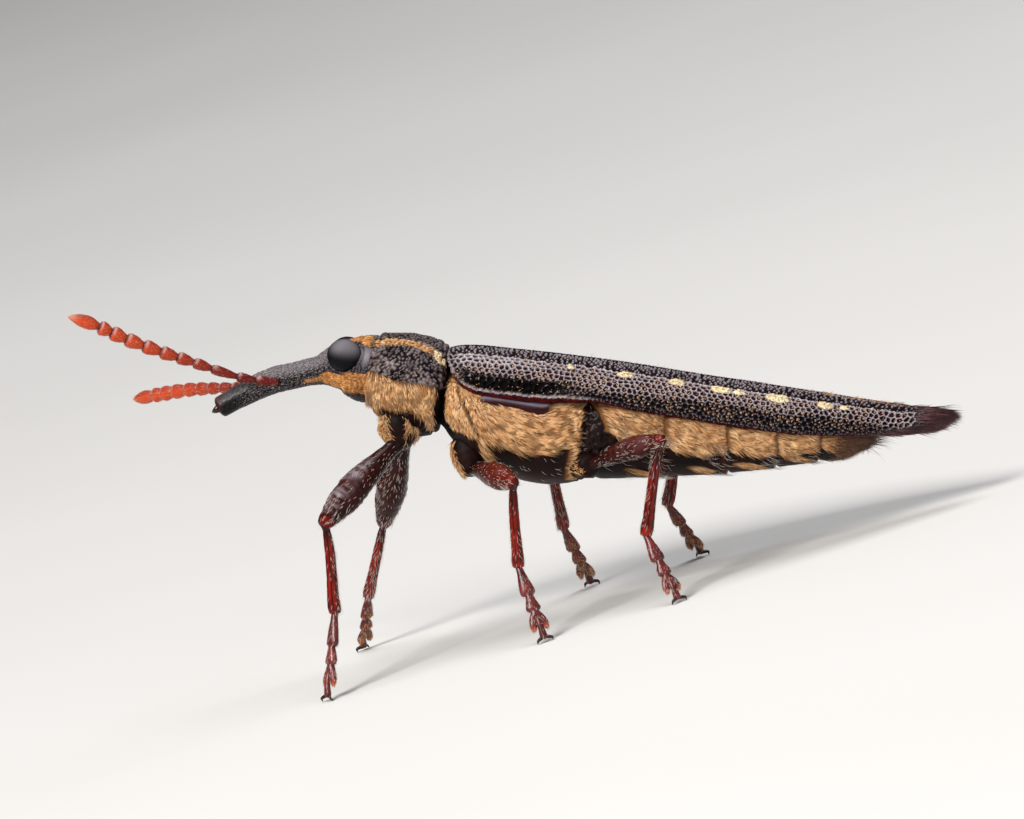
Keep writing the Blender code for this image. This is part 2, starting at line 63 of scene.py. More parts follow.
# Stations of the solids: x, half width, top, widest level, bottom, squareness above and below.
PROTHORAX = [
    (-2.02, 0.86, -0.01, -0.92, -1.80, 2.1, 2.1),
    (-1.70, 1.10, 0.10, -1.00, -2.08, 2.1, 2.2),
    (-1.20, 1.30, 0.17, -1.10, -2.32, 2.2, 2.2),
    (-0.75, 1.40, 0.16, -1.15, -2.48, 2.2, 2.2),
    (-0.30, 1.36, 0.08, -1.15, -2.46, 2.2, 2.2),
    (-0.08, 1.22, 0.00, -1.15, -2.34, 2.2, 2.2),
]
THORAX = [
    (-0.25, 0.80, -0.50, -1.30, -2.00, 2.2, 2.2),
    (0.12, 1.02, -0.56, -1.35, -2.20, 2.2, 2.2),
    (0.45, 1.34, -0.60, -1.55, -2.50, 2.2, 2.2),
    (1.10, 1.58, -0.60, -1.75, -3.00, 2.3, 2.2),
    (2.10, 1.67, -0.60, -1.90, -3.30, 2.3, 2.2),
    (3.00, 1.67, -0.60, -1.90, -3.36, 2.3, 2.2),
    (3.80, 1.58, -0.60, -1.85, -3.18, 2.3, 2.2),
    (4.05, 1.40, -0.60, -1.75, -2.98, 2.3, 2.2),
]
ABDOMEN = [
    (3.78, 1.42, -0.60, -1.72, -2.96, 2.3, 2.3),
    (3.98, 1.50, -0.60, -1.72, -3.08, 2.3, 2.3),
    (5.95, 1.50, -0.60, -1.62, -2.78, 2.3, 2.3),
    (7.60, 1.40, -0.65, -1.50, -2.50, 2.3, 2.3),
    (8.90, 1.22, -0.68, -1.40, -2.18, 2.3, 2.3),
    (10.05, 0.96, -0.72, -1.32, -1.88, 2.2, 2.2),
    (10.70, 0.66, -0.78, -1.22, -1.64, 2.2, 2.2),
    (11.12, 0.34, -0.88, -1.14, -1.38, 2.0, 2.0),
]
# Where each belly plate begins, and where the last one ends.
PLATES = [3.98, 5.95, 7.60, 8.90, 10.05, 11.4]
WING_CASES = [
    (0.04, 0.98, -0.04, -0.30, -0.44, 2.3, 3.0),
    (0.30, 1.42, 0.04, -0.48, -0.90, 2.4, 3.5),
    (0.80, 1.68, 0.10, -0.60, -1.17, 2.5, 4.0),
    (1.60, 1.75, 0.12, -0.65, -1.22, 2.6, 4.5),
    (2.70, 1.76, 0.14, -0.65, -1.18, 2.6, 4.5),
    (3.70, 1.76, 0.14, -0.62, -1.03, 2.6, 4.5),
    (4.30, 1.77, 0.13, -0.60, -0.99, 2.6, 4.5),
    (5.40, 1.78, 0.10, -0.62, -1.09, 2.6, 4.5),
    (6.80, 1.76, 0.05, -0.64, -1.16, 2.6, 4.5),
    (8.30, 1.66, 0.01, -0.66, -1.21, 2.6, 4.5),
    (9.70, 1.46, -0.03, -0.66, -1.20, 2.5, 4.0),
    (10.90, 1.16, -0.07, -0.62, -1.08, 2.4, 3.5),
    (12.00, 0.80, -0.10, -0.52, -0.90, 2.2, 3.0),
    (12.70, 0.52, -0.11, -0.40, -0.72, 2.0, 2.5),
    (13.00, 0.34, -0.15, -0.34, -0.58, 2.0, 2.0),
]
BRUSH_TIP = (13.75, 0, -0.29)
# Pits on the wing cases: their length, and the height of their rows below and above the keel.
PIT, LOW_ROW, HIGH_ROW = 0.158, 0.134, 0.178
ROWS_OF_PITS, KEEL_ROW, POINTS_PER_ROW = 13, 6, 9
# Cream spots on each wing case: x, half length and half height. All lie just below the keel.
SPOTS = [
    (3.29, 0.08, 0.07), (4.76, 0.20, 0.10), (6.10, 0.19, 0.12), (7.31, 0.25, 0.12),
    (7.81, 0.15, 0.08), (8.82, 0.34, 0.14), (10.09, 0.17, 0.10), (10.61, 0.10, 0.06),
]
EYE_CENTRE = (-2.74, 0.60, -0.58)
EYE_RADII = (0.46, 0.35, 0.44)
# Head and snout: a point on the middle line, half width and half height at each station.
FACE = [
    ((-1.60, 0, -0.90), 0.74, 0.78),
    ((-1.95, 0, -0.91), 0.80, 0.86),
    ((-2.20, 0, -0.91), 0.82, 0.88),
    ((-2.50, 0, -0.90), 0.77, 0.80),
    ((-2.80, 0, -0.91), 0.66, 0.68),
    ((-3.10, 0, -0.99), 0.52, 0.52),
    ((-3.38, 0, -1.09), 0.42, 0.385),
    ((-3.70, 0, -1.19), 0.36, 0.35),
    ((-4.10, 0, -1.34), 0.33, 0.335),
    ((-4.50, 0, -1.48), 0.345, 0.34),
    ((-4.95, 0, -1.72), 0.33, 0.325),
    ((-5.45, 0, -2.06), 0.31, 0.30),
    ((-5.88, 0, -2.38), 0.30, 0.29),
]
# Length and half width of each joint of a feeler, and the line that each feeler follows.
FEELER_JOINTS = [
    (0.60, 0.130), (0.50, 0.135), (0.72, 0.140), (0.49, 0.155), (0.46, 0.170), (0.46, 0.185),
    (0.49, 0.195), (0.49, 0.200), (0.43, 0.205), (0.35, 0.200), (0.84, 0.185),
]
FEELERS = {
    "left": [
        (-4.44, -0.25, -1.53), (-5.44, -0.53, -1.50), (-6.77, -0.92, -1.22),
        (-8.19, -1.35, -0.89), (-9.38, -1.72, -0.51), (-10.05, -1.90, -0.37),
    ],
    "right": [
        (-4.44, 0.25, -1.53), (-5.10, 0.93, -1.73), (-5.79, 1.60, -1.94),
        (-7.15, 3.01, -2.27), (-8.59, 4.46, -2.78),
    ],
}
COXA_TOPS = {"front": (-1.10, 0.50, -2.05), "middle": (0.78, 0.62, -2.45), "hind": (3.72, 0.72, -2.55)}
COXA_RADII = {
    "front": (0.50, 0.56, 0.46, 0.32),
    "middle": (0.42, 0.46, 0.40, 0.30),
    "hind": (0.44, 0.46, 0.38, 0.30),
}
# Hip, knee, ankle and toe of each leg, above the floor.
LEG_JOINTS = {
    "front_left": ((-1.91, -0.85, 5.84), (-4.25, -2.60, 4.49), (-4.65, -2.90, 2.15), (-5.42, -3.60, 0)),
    "middle_left": ((-0.31, -1.00, 4.63), (0.88, -2.90, 4.18), (0.42, -3.25, 2.05), (0.62, -3.95, 0)),
    "hind_left": ((2.78, -1.45, 3.89), (4.94, -2.60, 4.16), (3.87, -2.90, 1.88), (4.28, -3.60, 0)),
    "front_right": ((-1.91, 0.85, 5.70), (-3.40, 3.00, 3.35), (-4.45, 3.40, 1.45), (-5.05, 3.95, 0)),
    "middle_right": ((-0.31, 1.00, 4.63), (1.50, 2.70, 4.05), (1.20, 3.15, 1.85), (1.42, 3.90, 0)),
    "hind_right": ((2.78, 1.45, 3.89), (5.30, 2.55, 4.05), (4.10, 2.95, 1.72), (4.55, 3.65, 0)),
}
FEMUR_RADIUS = {"front": 0.42, "middle": 0.35, "hind": 0.31}
# Widths at shares of the way along: of the thigh, in shares of its radius, and of the shin, in mm.
FEMUR_SHARES = (0.0, 0.06, 0.12, 0.24, 0.42, 0.60, 0.76, 0.87, 0.94, 0.985, 1.02)
FEMUR_WIDTHS = (0.52, 0.58, 0.53, 0.62, 0.84, 1.00, 0.93, 0.76, 0.64, 0.58, 0.46)
TIBIA_SHARES = (-0.04, 0.03, 0.09, 0.16, 0.35, 0.60, 0.82, 0.93, 1.0)
TIBIA_WIDTHS = (0.10, 0.120, 0.098, 0.112, 0.130, 0.138, 0.152, 0.168, 0.150)
# Parts of a foot: share of the way to the toe, aside, up, half width and half height at each point.
LOBE = [
    (0.63, 0.07, 0, 0.08, 0.07), (0.70, 0.12, 0, 0.105, 0.08), (0.77, 0.16, 0, 0.10, 0.075),
    (0.82, 0.175, 0, 0.06, 0.05),
]
FOOT_PARTS = {
    "pad_one": [
        (0.0, 0, 0, 0.085, 0.085), (0.10, 0, 0, 0.11, 0.10), (0.22, 0, 0, 0.165, 0.12),
        (0.34, 0, 0, 0.205, 0.125), (0.375, 0, 0, 0.17, 0.10),
    ],
    "pad_two": [
        (0.355, 0, 0.01, 0.09, 0.08), (0.42, 0, 0.01, 0.12, 0.10), (0.50, 0, 0, 0.175, 0.12),
        (0.56, 0, 0, 0.20, 0.12), (0.585, 0, 0, 0.16, 0.09),
    ],
    "pad_three": [
        (0.565, 0, 0.01, 0.085, 0.08), (0.61, 0, 0, 0.13, 0.10), (0.66, 0, 0, 0.17, 0.10),
        (0.70, 0, 0, 0.14, 0.07),
    ],
    "lobe_near": LOBE,
    "lobe_far": [(share, -aside, *rest) for share, aside, *rest in LOBE],
    "claw_joint": [
        (0.66, 0, 0.03, 0.055, 0.05), (0.74, 0, 0.07, 0.065, 0.06), (0.83, 0, 0.06, 0.085, 0.075),
        (0.92, 0, 0.03, 0.105, 0.09), (0.945, 0, 0.02, 0.08, 0.07),
    ],
}

# The solids' frame lies under the middle of their box, and an eye shows where that is.
TURN = np.array(Matrix.Rotation(TRUNK_PITCH, 3, "Y") @ Matrix.Rotation(TRUNK_ROLL, 3, "X"))
UP = np.array((0.0, TRUNK_ASIDE, TRUNK_HEIGHT))
eye_low, eye_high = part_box("eye_left")
SHIFT = np.array((eye_low + eye_high) / 2 / MM) - (TURN @ (np.array(EYE_CENTRE) * (1, -1, 1)) + UP)
SHIFT[2] = 0.0


def to_floor(points):
    """Points of the trunk's frame in the floor's frame."""
    return points @ TURN.T + UP


def unit(v):
    return v / np.maximum(np.linalg.norm(v, axis=-1, keepdims=True), 1e-12)


def smooth(low, high, x):
    t = np.clip((x - low) / (high - low), 0, 1)
    return t * t * (3 - 2 * t)


def fade(low, high, x):
    return 1 - smooth(low, high, x)


def between(x, start, full, waning, gone):
    """Rises from 0 to 1 over the first two places, and falls back to 0 over the last two."""
    return smooth(start, full, x) * fade(waning, gone, x)


def ridge(offset, width):
    """1 on a line, and less the further a point lies beside it."""
    return np.exp(-((offset / width) ** 2))


def catmull(rows, t):
    rows = np.asarray(rows, float)
    last = len(rows) - 1
    i = np.clip(np.floor(t).astype(int), 0, last - 1)
    f = (t - i)[..., None]
    a, b, c, d = rows[np.maximum(i - 1, 0)], rows[i], rows[i + 1], rows[np.minimum(i + 2, last)]
    return 0.5 * (2 * b + (c - a) * f + (2 * a - 5 * b + 4 * c - d) * f**2 + (3 * b - a - 3 * c + d) * f**3)


def chance(*cells, salt=0):
    """A number from 0 to 1 for each whole-number cell, always the same one."""
    n = np.full(np.shape(cells[0]), salt * 7919 + 17, np.int64)
    for k, prime in zip(cells, (73856093, 19349663, 83492791)):
        n = ((n ^ (k.astype(np.int64) * prime)) & 0xFFFFFFFF) * 1274126177 & 0xFFFFFFFF
        n ^= n >> 15
    return (n & 0xFFFFFF) / float(0xFFFFFF)


def noise(points, size, salt=0):
    """Smooth noise from -1 to 1, with lumps of that size."""
    cell = np.floor(points / size)
    f = points / size - cell
    f = f * f * (3 - 2 * f)
    total = 0.0
    for step in product((0, 1), repeat=3):
        weight = np.where(step, f, 1 - f).prod(-1)
        total = total + weight * chance(*np.moveaxis(cell + step, -1, 0), salt=salt)
    return total * 2 - 1


def grains(points, size, salt=0):
    """Distance to the nearest of a crowd of seeds, in shares of their spacing."""
    p = points / size
    best = np.full(p.shape[:-1], 9.0)
    for step in product((-1, 0, 1), repeat=3):
        cell = np.floor(p) + step
        parts = np.moveaxis(cell, -1, 0)
        seed = cell + np.stack([chance(*parts, salt=salt + k) for k in range(3)], -1)
        best = np.minimum(best, ((p - seed) ** 2).sum(-1))
    return np.sqrt(best)


def pit_lattice(u, v, jitter, wide, tall, salt):
    """The three nearest distances in mm to a staggered lattice of pits of wide by tall cells."""
    near = [np.full(u.shape, 9.0) for _ in range(3)]
    for dv, du in product((-1, 0, 1), repeat=2):
        r = np.floor(v) + dv
        stagger = 0.5 * np.mod(r, 2)
        c = np.floor(u - stagger) + du
        cu = c + 0.5 + stagger + jitter * (chance(c, r, salt=salt) - 0.5)
        cv = r + 0.5 + jitter * (chance(c, r, salt=salt + 1) - 0.5)
        d = np.hypot((u - cu) * wide, (v - cv) * tall)
        near[2] = np.minimum(near[2], np.maximum(near[1], d))
        near[1] = np.minimum(near[1], np.maximum(near[0], d))
        near[0] = np.minimum(near[0], d)
    return near


class Skin:
    """A tube of points: rows run along it and columns round it, and relief pushes them outwards."""

    def __init__(self, base, trunk=True):
        self.base, self.shape, self.trunk = base, base, trunk
        self.along = unit(np.gradient(base, axis=0))
        self.round = unit(np.roll(base, -1, 1) - np.roll(base, 1, 1))
        self.normal = unit(np.cross(self.along, self.round))

    def noise(self, size, salt):
        return noise(self.base, size, salt)

    def push(self, height):
        self.shape = self.base + self.normal * height[..., None]

    def piece(self, name, look, slot, *replaced, **facts):
        """The skin as a piece of the model, with each fact as an attribute on its points."""
        rows, columns = self.shape.shape[:2]

        def with_tips(grid):
            return np.concatenate([grid.reshape(-1, *grid.shape[2:]), grid[:1].mean(1), grid[-1:].mean(1)])

        i, j = np.indices((rows - 1, columns))
        k = (j + 1) % columns
        i *= columns
        quads = np.stack([i + j, i + columns + j, i + columns + k, i + k], -1)
        j, k = j[0], k[0]
        tip = rows * columns
        last = tip - columns
        faces = [
            quads.reshape(-1, 4),
            np.stack([0 * j + tip, j, k], -1),
            np.stack([0 * j + tip + 1, last + k, last + j], -1),
        ]
        points = with_tips(self.shape)
        facts = {key: with_tips(value) for key, value in facts.items()}
        add_piece(name, to_floor(points) if self.trunk else points, faces, look, replaced, facts)

    def sample(self, i, j):
        """Place, outward, along and round directions at fractional rows and columns."""
        rows, columns = self.shape.shape[:2]
        i = np.clip(i, 0, rows - 1.001)
        i0, j0 = np.floor(i).astype(int), np.floor(j).astype(int)
        f, g = (i - i0)[:, None], (j - j0)[:, None]
        out = []
        for grid in (self.shape, self.normal, self.along, self.round):
            a, b = grid[i0, j0 % columns], grid[i0, (j0 + 1) % columns]
            c, d = grid[i0 + 1, j0 % columns], grid[i0 + 1, (j0 + 1) % columns]
            out.append((a * (1 - g) + b * g) * (1 - f) + (c * (1 - g) + d * g) * f)
        return out[0], unit(out[1]), unit(out[2]), unit(out[3])

    def scatter(self, count, weight, rng):
        """Fractional rows and columns of roots, as dense as the weight on each point says."""
        du = np.linalg.norm(np.diff(self.base, axis=0), axis=-1)
        dv = np.linalg.norm(np.roll(self.base, -1, 1) - self.base, axis=-1)[:-1]
        share = (du * dv * np.clip(1.0 * weight, 0, None)[:-1]).ravel()
        pick = rng.choice(share.size, count, p=share / share.sum())
        columns = self.base.shape[1]
        return pick // columns + rng.random(count), pick % columns + rng.random(count)


def at_roots(value, roots):
    """A plain number as it is, or a grid's number in the cell where each root lies."""
    if np.ndim(value) == 0:
        return value
    i, j = (k.astype(int) for k in roots)
    return value[np.clip(i, 0, value.shape[0] - 1), j % value.shape[1]]


def reach_along(line):
    """How far each point of a line lies from its first one."""
    return np.concatenate([[0], np.cumsum(np.linalg.norm(np.diff(line, axis=0), axis=1))])


def look_up(want, reach, rows):
    """The rows' numbers at the wanted reaches."""
    return np.stack([np.interp(want, reach, column) for column in rows.T], -1)


def even_columns(points, columns):
    """The same closed rings with their points evenly spaced."""
    out = []
    for ring in points:
        ring = np.concatenate([ring, ring[:1]])
        reach = reach_along(ring)
        out.append(look_up(np.linspace(0, reach[-1], columns, endpoint=False), reach, ring))
    return np.array(out)


def section(row, angle):
    """Rounded outlines across the trunk at the stations in row."""
    x, half, top, wide, bottom, above, below = (row[..., k : k + 1] for k in range(7))
    side, up = np.sin(angle), np.cos(angle)
    power = 2 / np.where(up >= 0, above, below)
    reach = np.where(up >= 0, top - wide, wide - bottom)
    y = half * np.sign(side) * np.abs(side) ** power
    z = wide + reach * np.sign(up) * np.abs(up) ** power
    return np.stack([np.broadcast_to(x, y.shape), y, z], -1)


def even_rows(table, rows):
    """The stations' numbers at evenly spaced x."""
    dense = catmull(table, np.linspace(0, len(table) - 1, 60 * len(table)))
    return look_up(np.linspace(dense[0, 0], dense[-1, 0], rows), dense[:, 0], dense)


def closed_ends(rings, front, back, steps=CAP_ROWS):
    """Adds rings that round off the two ends by those depths."""
    out = [rings]
    for end, beside, depth in ((rings[0], rings[2], front), (rings[-1], rings[-3], back)):
        centre = end.mean(0)
        outward = unit(centre - beside.mean(0))
        turn = np.linspace(0, math.pi / 2, steps + 1)[1:] * 0.985
        cap = [centre + (end - centre) * math.cos(a) + outward * depth * math.sin(a) for a in turn]
        out.append(np.array(cap))
    return np.concatenate([out[1][::-1], out[0], out[2]])


def trunk_skin(table, rows, columns, front, back):
    angle = np.linspace(0, TAU, 720, endpoint=False)
    rings = even_columns(section(even_rows(table, rows), angle), columns)
    return Skin(closed_ends(rings, front, back))


def spread(skin):
    """How far each point lies along the skin, and round it from its top line, in mm."""
    step = np.linalg.norm(np.roll(skin.base, -1, 1) - skin.base, axis=-1)
    around = np.cumsum(step, 1) - step
    whole = step.sum(1, keepdims=True)
    along = reach_along(skin.base.mean(1))[:, None] + 0 * around
    return along, np.where(around > whole / 2, around - whole, around)


def share_along(skin):
    along, _ = spread(skin)
    return along / along[-1]


def limb(points, radii, rows, columns, hint, caps=(0.1, 0.1), trunk=False):
    """A skin along points, with a side radius and an up radius at each."""
    t = np.linspace(0, len(points) - 1, rows)
    centre = catmull(points, t)
    reach = catmull([r if np.ndim(r) else (r, r) for r in radii], t)
    rings = hoops(centre, unit(np.gradient(centre, axis=0)), hint, reach[:, :1], reach[:, 1:], columns)
    return Skin(closed_ends(rings, *caps, steps=4), trunk)


def hoops(centre, forward, hint, wide, high, columns):
    """A ring of points round each centre, across the way forward, that starts on the hint's side."""
    side = unit(np.cross(hint, forward))
    up = np.cross(forward, side)
    angle = np.linspace(0, TAU, columns, endpoint=False)
    across = side[:, None] * (wide * np.sin(angle))[..., None]
    return centre[:, None] + across + up[:, None] * (high * np.cos(angle))[..., None]


def add_piece(name, points, faces, look, replaced=(), facts=None, uv=None):
    mesh = bpy.data.meshes.new(name)
    corners = np.concatenate([block.ravel() for block in faces])
    sizes = np.concatenate([np.full(len(block), block.shape[1]) for block in faces])
    mesh.vertices.add(len(points))
    mesh.vertices.foreach_set("co", ((points + SHIFT) * MM).astype(np.float32).ravel())
    mesh.loops.add(len(corners))
    mesh.loops.foreach_set("vertex_index", corners.astype(np.int32))
    mesh.polygons.add(len(sizes))
    mesh.polygons.foreach_set("loop_start", np.concatenate([[0], np.cumsum(sizes)[:-1]]).astype(np.int32))
    for key, value in facts.items():
        mesh.attributes.new(key, "FLOAT", "POINT").data.foreach_set("value", value.astype(np.float32))
    if uv is not None:
        layer = mesh.uv_layers.new(name="OFBake")
        layer.uv.foreach_set("vector", uv[corners].astype(np.float32).ravel())
    mesh.update(calc_edges=True)
    mesh.shade_smooth()
    mesh.materials.append(LOOKS[look])
    obj = bpy.data.objects.new(name, mesh)
    bpy.context.scene.collection.objects.link(obj)
    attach(obj, "root")
    if replaced:
        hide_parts(*replaced)


class Coat:
    """Strands of one colour, gathered from several skins into one piece.

    The map OFBake has a strip for each skin, and each strand is a small patch at its root's place.
    """

    PATCH = 0.003
    STRAND_POINTS = 7

    def __init__(self, name, look, seed, strips=1):
        self.name, self.look, self.strips = name, look, strips
        self.rng = np.random.default_rng(seed)
        self.points, self.uv, self.shade, self.tip, self.sides, self.ends = [], [], [], [], [], []
        self.total = 0

    def sow(
        self, skin, count, weight, turn, reach, width, lift, droop=0.1, sway=None,
        side=1, fit=1, most=9.0, reach_first=False, dice=None, **more,
    ):
        """Roots strands where the weight is high, and draws how each of them lies.

        Turn and sway are a mean and a spread, and reach is a length, or the least and the most one.
        Side, fit, most and turn's mean are numbers, or grids with a number for each of the points.
        """
        dice = dice or self.rng
        roots = skin.scatter(count, weight, dice)

        def headings():
            return at_roots(side, roots) * (at_roots(turn[0], roots) + dice.normal(0, turn[1], count))

        def lengths():
            length = dice.uniform(*reach, count) if np.ndim(reach) else reach
            return np.minimum(length * at_roots(fit, roots), at_roots(most, roots))

        if reach_first:
            length = lengths()
            heading = headings()
        else:
            heading = headings()
            length = lengths()
        bend = dice.normal(*sway, count) if sway else 0.0
        self.grow(skin, roots, heading, length, width, lift, droop, bend, **more)

    def grow(
        self, skin, roots, heading, length, width, lift, droop, bend,
        strip=0, waist=0.48, thick=0.5, lock=0.0,
    ):
        """Strands from the roots. Heading turns from along the skin (0) to round it, in radians.

        Strands within a lock, a patch of skin of that size, lean together and share a shade.
        """
        i, j = roots
        count = len(i)
        root, out, along, around = skin.sample(i, j)
        heading, length, bend = (np.broadcast_to(value, count)[:, None] for value in (heading, length, bend))
        shade = self.rng.random(count)
        pull = wave = 0.0
        if lock:
            step = [np.linalg.norm(np.diff(skin.base, axis=k), axis=-1).mean() for k in (0, 1)]
            long = 3.2 * lock
            across_cell = np.floor(j * step[1] / lock)
            # Each row of locks starts at another place, so that no rows show.
            shift = chance(across_cell, across_cell, salt=3)
            cells = [np.floor(i * step[0] / long + shift), across_cell]
            seat_i = (cells[0] - shift + 0.5) * long / step[0]
            seat_j = (cells[1] + 0.2 + 0.6 * chance(*cells, salt=4)) * lock / step[1]
            centre = skin.sample(np.clip(seat_i, 0, skin.base.shape[0] - 2), seat_j)[0]
            heading = heading + (chance(*cells, salt=5)[:, None] - 0.5) * 0.26
            lift = lift + (chance(*cells, salt=6)[:, None] - 0.5) * 0.20
            shade = np.where(shade < 0.11, 0.0, 0.08 + 0.32 * shade + 0.60 * chance(*cells, salt=7))
            wave = (chance(*cells, salt=8)[:, None] - 0.5) * 0.22
            pull = centre - root
        around = unit(around - along * (along * around).sum(-1, keepdims=True))
        ahead = along * np.cos(heading) + around * np.sin(heading)
        across = np.cross(out, ahead)
        if lock:
            limit = 0.35 * length
            pull = across * np.clip((pull * across).sum(-1, keepdims=True) * 0.75, -limit, limit)
        rows, columns = skin.base.shape[:2]
        place = np.stack([i / rows, (j / columns % 1 + strip) / self.strips], -1) * 0.99 + 0.004
        points, uvs = [], []
        for s in (0, waist, 1.0):
            middle = root - out * width * 0.3 + ahead * length * s * np.cos(lift)
            middle = middle + out * length * (np.sin(lift) * s - droop * s * s)
            middle = middle + (across * length * bend + pull) * s * s
            middle = middle + across * length * wave * math.sin(TAU * s)
            w = width * (1 - 0.55 * s * s)
            ring = ((0, 0, 0.5),) if s == 1 else ((0.5, 0, 0), (0, thick, 0.5), (-0.5, 0, 1))
            for sideways, up, u in ring:
                points.append(middle + across * w * sideways + out * w * up)
                uvs.append(place + (u * self.PATCH, s * self.PATCH))
        points = np.stack(points, 1).reshape(-1, 3)
        start = self.total + self.STRAND_POINTS * np.arange(count)[:, None]
        pairs = ((0, 1), (1, 2), (2, 0))
        self.sides += [start + [[a, 3 + a, 3 + b, b]] for a, b in pairs]
        self.ends += [start + [[3 + a, 6, 3 + b]] for a, b in pairs] + [start + [[0, 1, 2]]]
        self.points.append(to_floor(points) if skin.trunk else points)
        self.uv.append(np.stack(uvs, 1).reshape(-1, 2))
        self.shade.append(np.repeat(shade, self.STRAND_POINTS))
        self.tip.append(np.tile([0, 0, 0, waist, waist, waist, 1], count))
        self.total += self.STRAND_POINTS * count

    def finish(self):
        facts = {"shade": np.concatenate(self.shade), "tip": np.concatenate(self.tip)}
        faces = [np.concatenate(self.sides), np.concatenate(self.ends)]
        points, uv = np.concatenate(self.points), np.concatenate(self.uv)
        add_piece(self.name, points, faces, self.look, (), facts, uv)


class Look:
    """A node material, built from named attributes and noise in the object's own space."""

    def __init__(self, name):
        material = LOOKS[name] = bpy.data.materials.new(name)
        material.use_nodes = True
        self.tree = material.node_tree
        self.place = self.tree.nodes.new("ShaderNodeTexCoord").outputs["Object"]

    def new(self, kind, **inputs):
        node = self.tree.nodes.new(kind)
        for key, value in inputs.items():
            self.put(node.inputs[key.replace("_", " ")], value)
        return node

    def put(self, socket, value):
        if isinstance(value, bpy.types.NodeSocket):
            self.tree.links.new(value, socket)
        else:
            socket.default_value = (*value, 1.0) if isinstance(value, tuple) else value

    def fact(self, name):
        node = self.tree.nodes.new("ShaderNodeAttribute")
        node.attribute_name = name
        return node.outputs["Fac"]

    def noise(self, size_mm, detail=3.0):
        scale = 1 / (size_mm * MM)
        node = self.new("ShaderNodeTexNoise", Vector=self.place, Scale=scale, Detail=detail, Roughness=0.55)
        return node.outputs["Fac"]

    def cells(self, size_mm):
        scale = 1 / (size_mm * MM)
        return self.new("ShaderNodeTexVoronoi", Vector=self.place, Scale=scale).outputs["Distance"]

    def span(self, value, low, high, to_low=0.0, to_high=1.0):
        ends = {"From_Min": low, "From_Max": high, "To_Min": to_low, "To_Max": to_high}
        return self.new("ShaderNodeMapRange", Value=value, **ends).outputs["Result"]

    def patches(self, size_mm, low, high):
        return self.span(self.noise(size_mm), low, high)

    def mix(self, share, a, b):
        node = self.tree.nodes.new("ShaderNodeMix")
        node.data_type = "RGBA"
        self.put(node.inputs["Factor"], share)
        for socket, value in zip([s for s in node.inputs if s.type == "RGBA"], (a, b)):
            self.put(socket, value)
        return next(s for s in node.outputs if s.type == "RGBA")

    def lay(self, tone, **colours):
        """Lays each colour over the tone, as strongly as the fact of that name says."""
        for name, colour in colours.items():
            tone = self.mix(self.fact(name), tone, colour)
        return tone

    def times(self, a, b):
        node = self.tree.nodes.new("ShaderNodeMath")
        node.operation = "MULTIPLY"
        self.put(node.inputs[0], a)
        self.put(node.inputs[1], b)
        return node.outputs[0]

    def set(self, tone, rough, shine=0.5, bump=None, depth_mm=0.0):
        shader = self.tree.nodes["Principled BSDF"]
        for key, value in (("Base Color", tone), ("Roughness", rough), ("Specular IOR Level", shine)):
            self.put(shader.inputs[key], value)
        if bump is not None:
            node = self.new("ShaderNodeBump", Height=bump, Distance=depth_mm * MM, Strength=1.0)
            self.tree.links.new(node.outputs["Normal"], shader.inputs["Normal"])


LOOKS = {}
# Hair and scales: the slot, the deep, middle and pale colours, and the roughness.
HAIR = {
    "tan_hair": ("tan_hair", (0.055, 0.019, 0.005), (0.56, 0.225, 0.064), (0.97, 0.65, 0.33), 0.42),
    "cheek_hair": ("tan_hair", (0.10, 0.034, 0.006), (0.50, 0.185, 0.040), (0.95, 0.48, 0.16), 0.45),
    "white_hair": ("white_hair", (0.24, 0.16, 0.12), (0.62, 0.54, 0.47), (0.82, 0.77, 0.70), 0.35),
    "feeler_hair": ("white_hair", (0.40, 0.10, 0.05), (0.62, 0.34, 0.24), (0.80, 0.62, 0.52), 0.35),
    "peg_hair": ("tan_hair", (0.28, 0.10, 0.04), (0.60, 0.32, 0.15), (0.84, 0.55, 0.32), 0.35),
    "cream_scale": ("cream_scale", (0.50, 0.35, 0.17), (0.86, 0.70, 0.42), (0.93, 0.82, 0.58), 0.45),
    "brush_hair": ("dark_hair", (0.003, 0.001, 0.003), (0.020, 0.007, 0.013), (0.26, 0.095, 0.095), 0.34),
    "rust_hair": ("dark_hair", (0.008, 0.003, 0.002), (0.050, 0.016, 0.008), (0.36, 0.17, 0.085), 0.42),
}


def hair_looks():
    for name, (_, deep, mid, pale, rough) in HAIR.items():
        look = Look(name)
        tone = look.mix(look.fact("shade"), mid, pale)
        tone = look.mix(look.span(look.noise(0.6, 2.0), 0.40, 0.75, 0.0, 0.5), tone, mid)
        tone = look.mix(look.span(look.fact("shade"), 0.0, 0.06, 0.75, 0.0), tone, deep)
        tone = look.mix(look.span(look.fact("tip"), 0.0, 0.5, 0.95, 0.0), tone, deep)
        look.set(tone, rough)


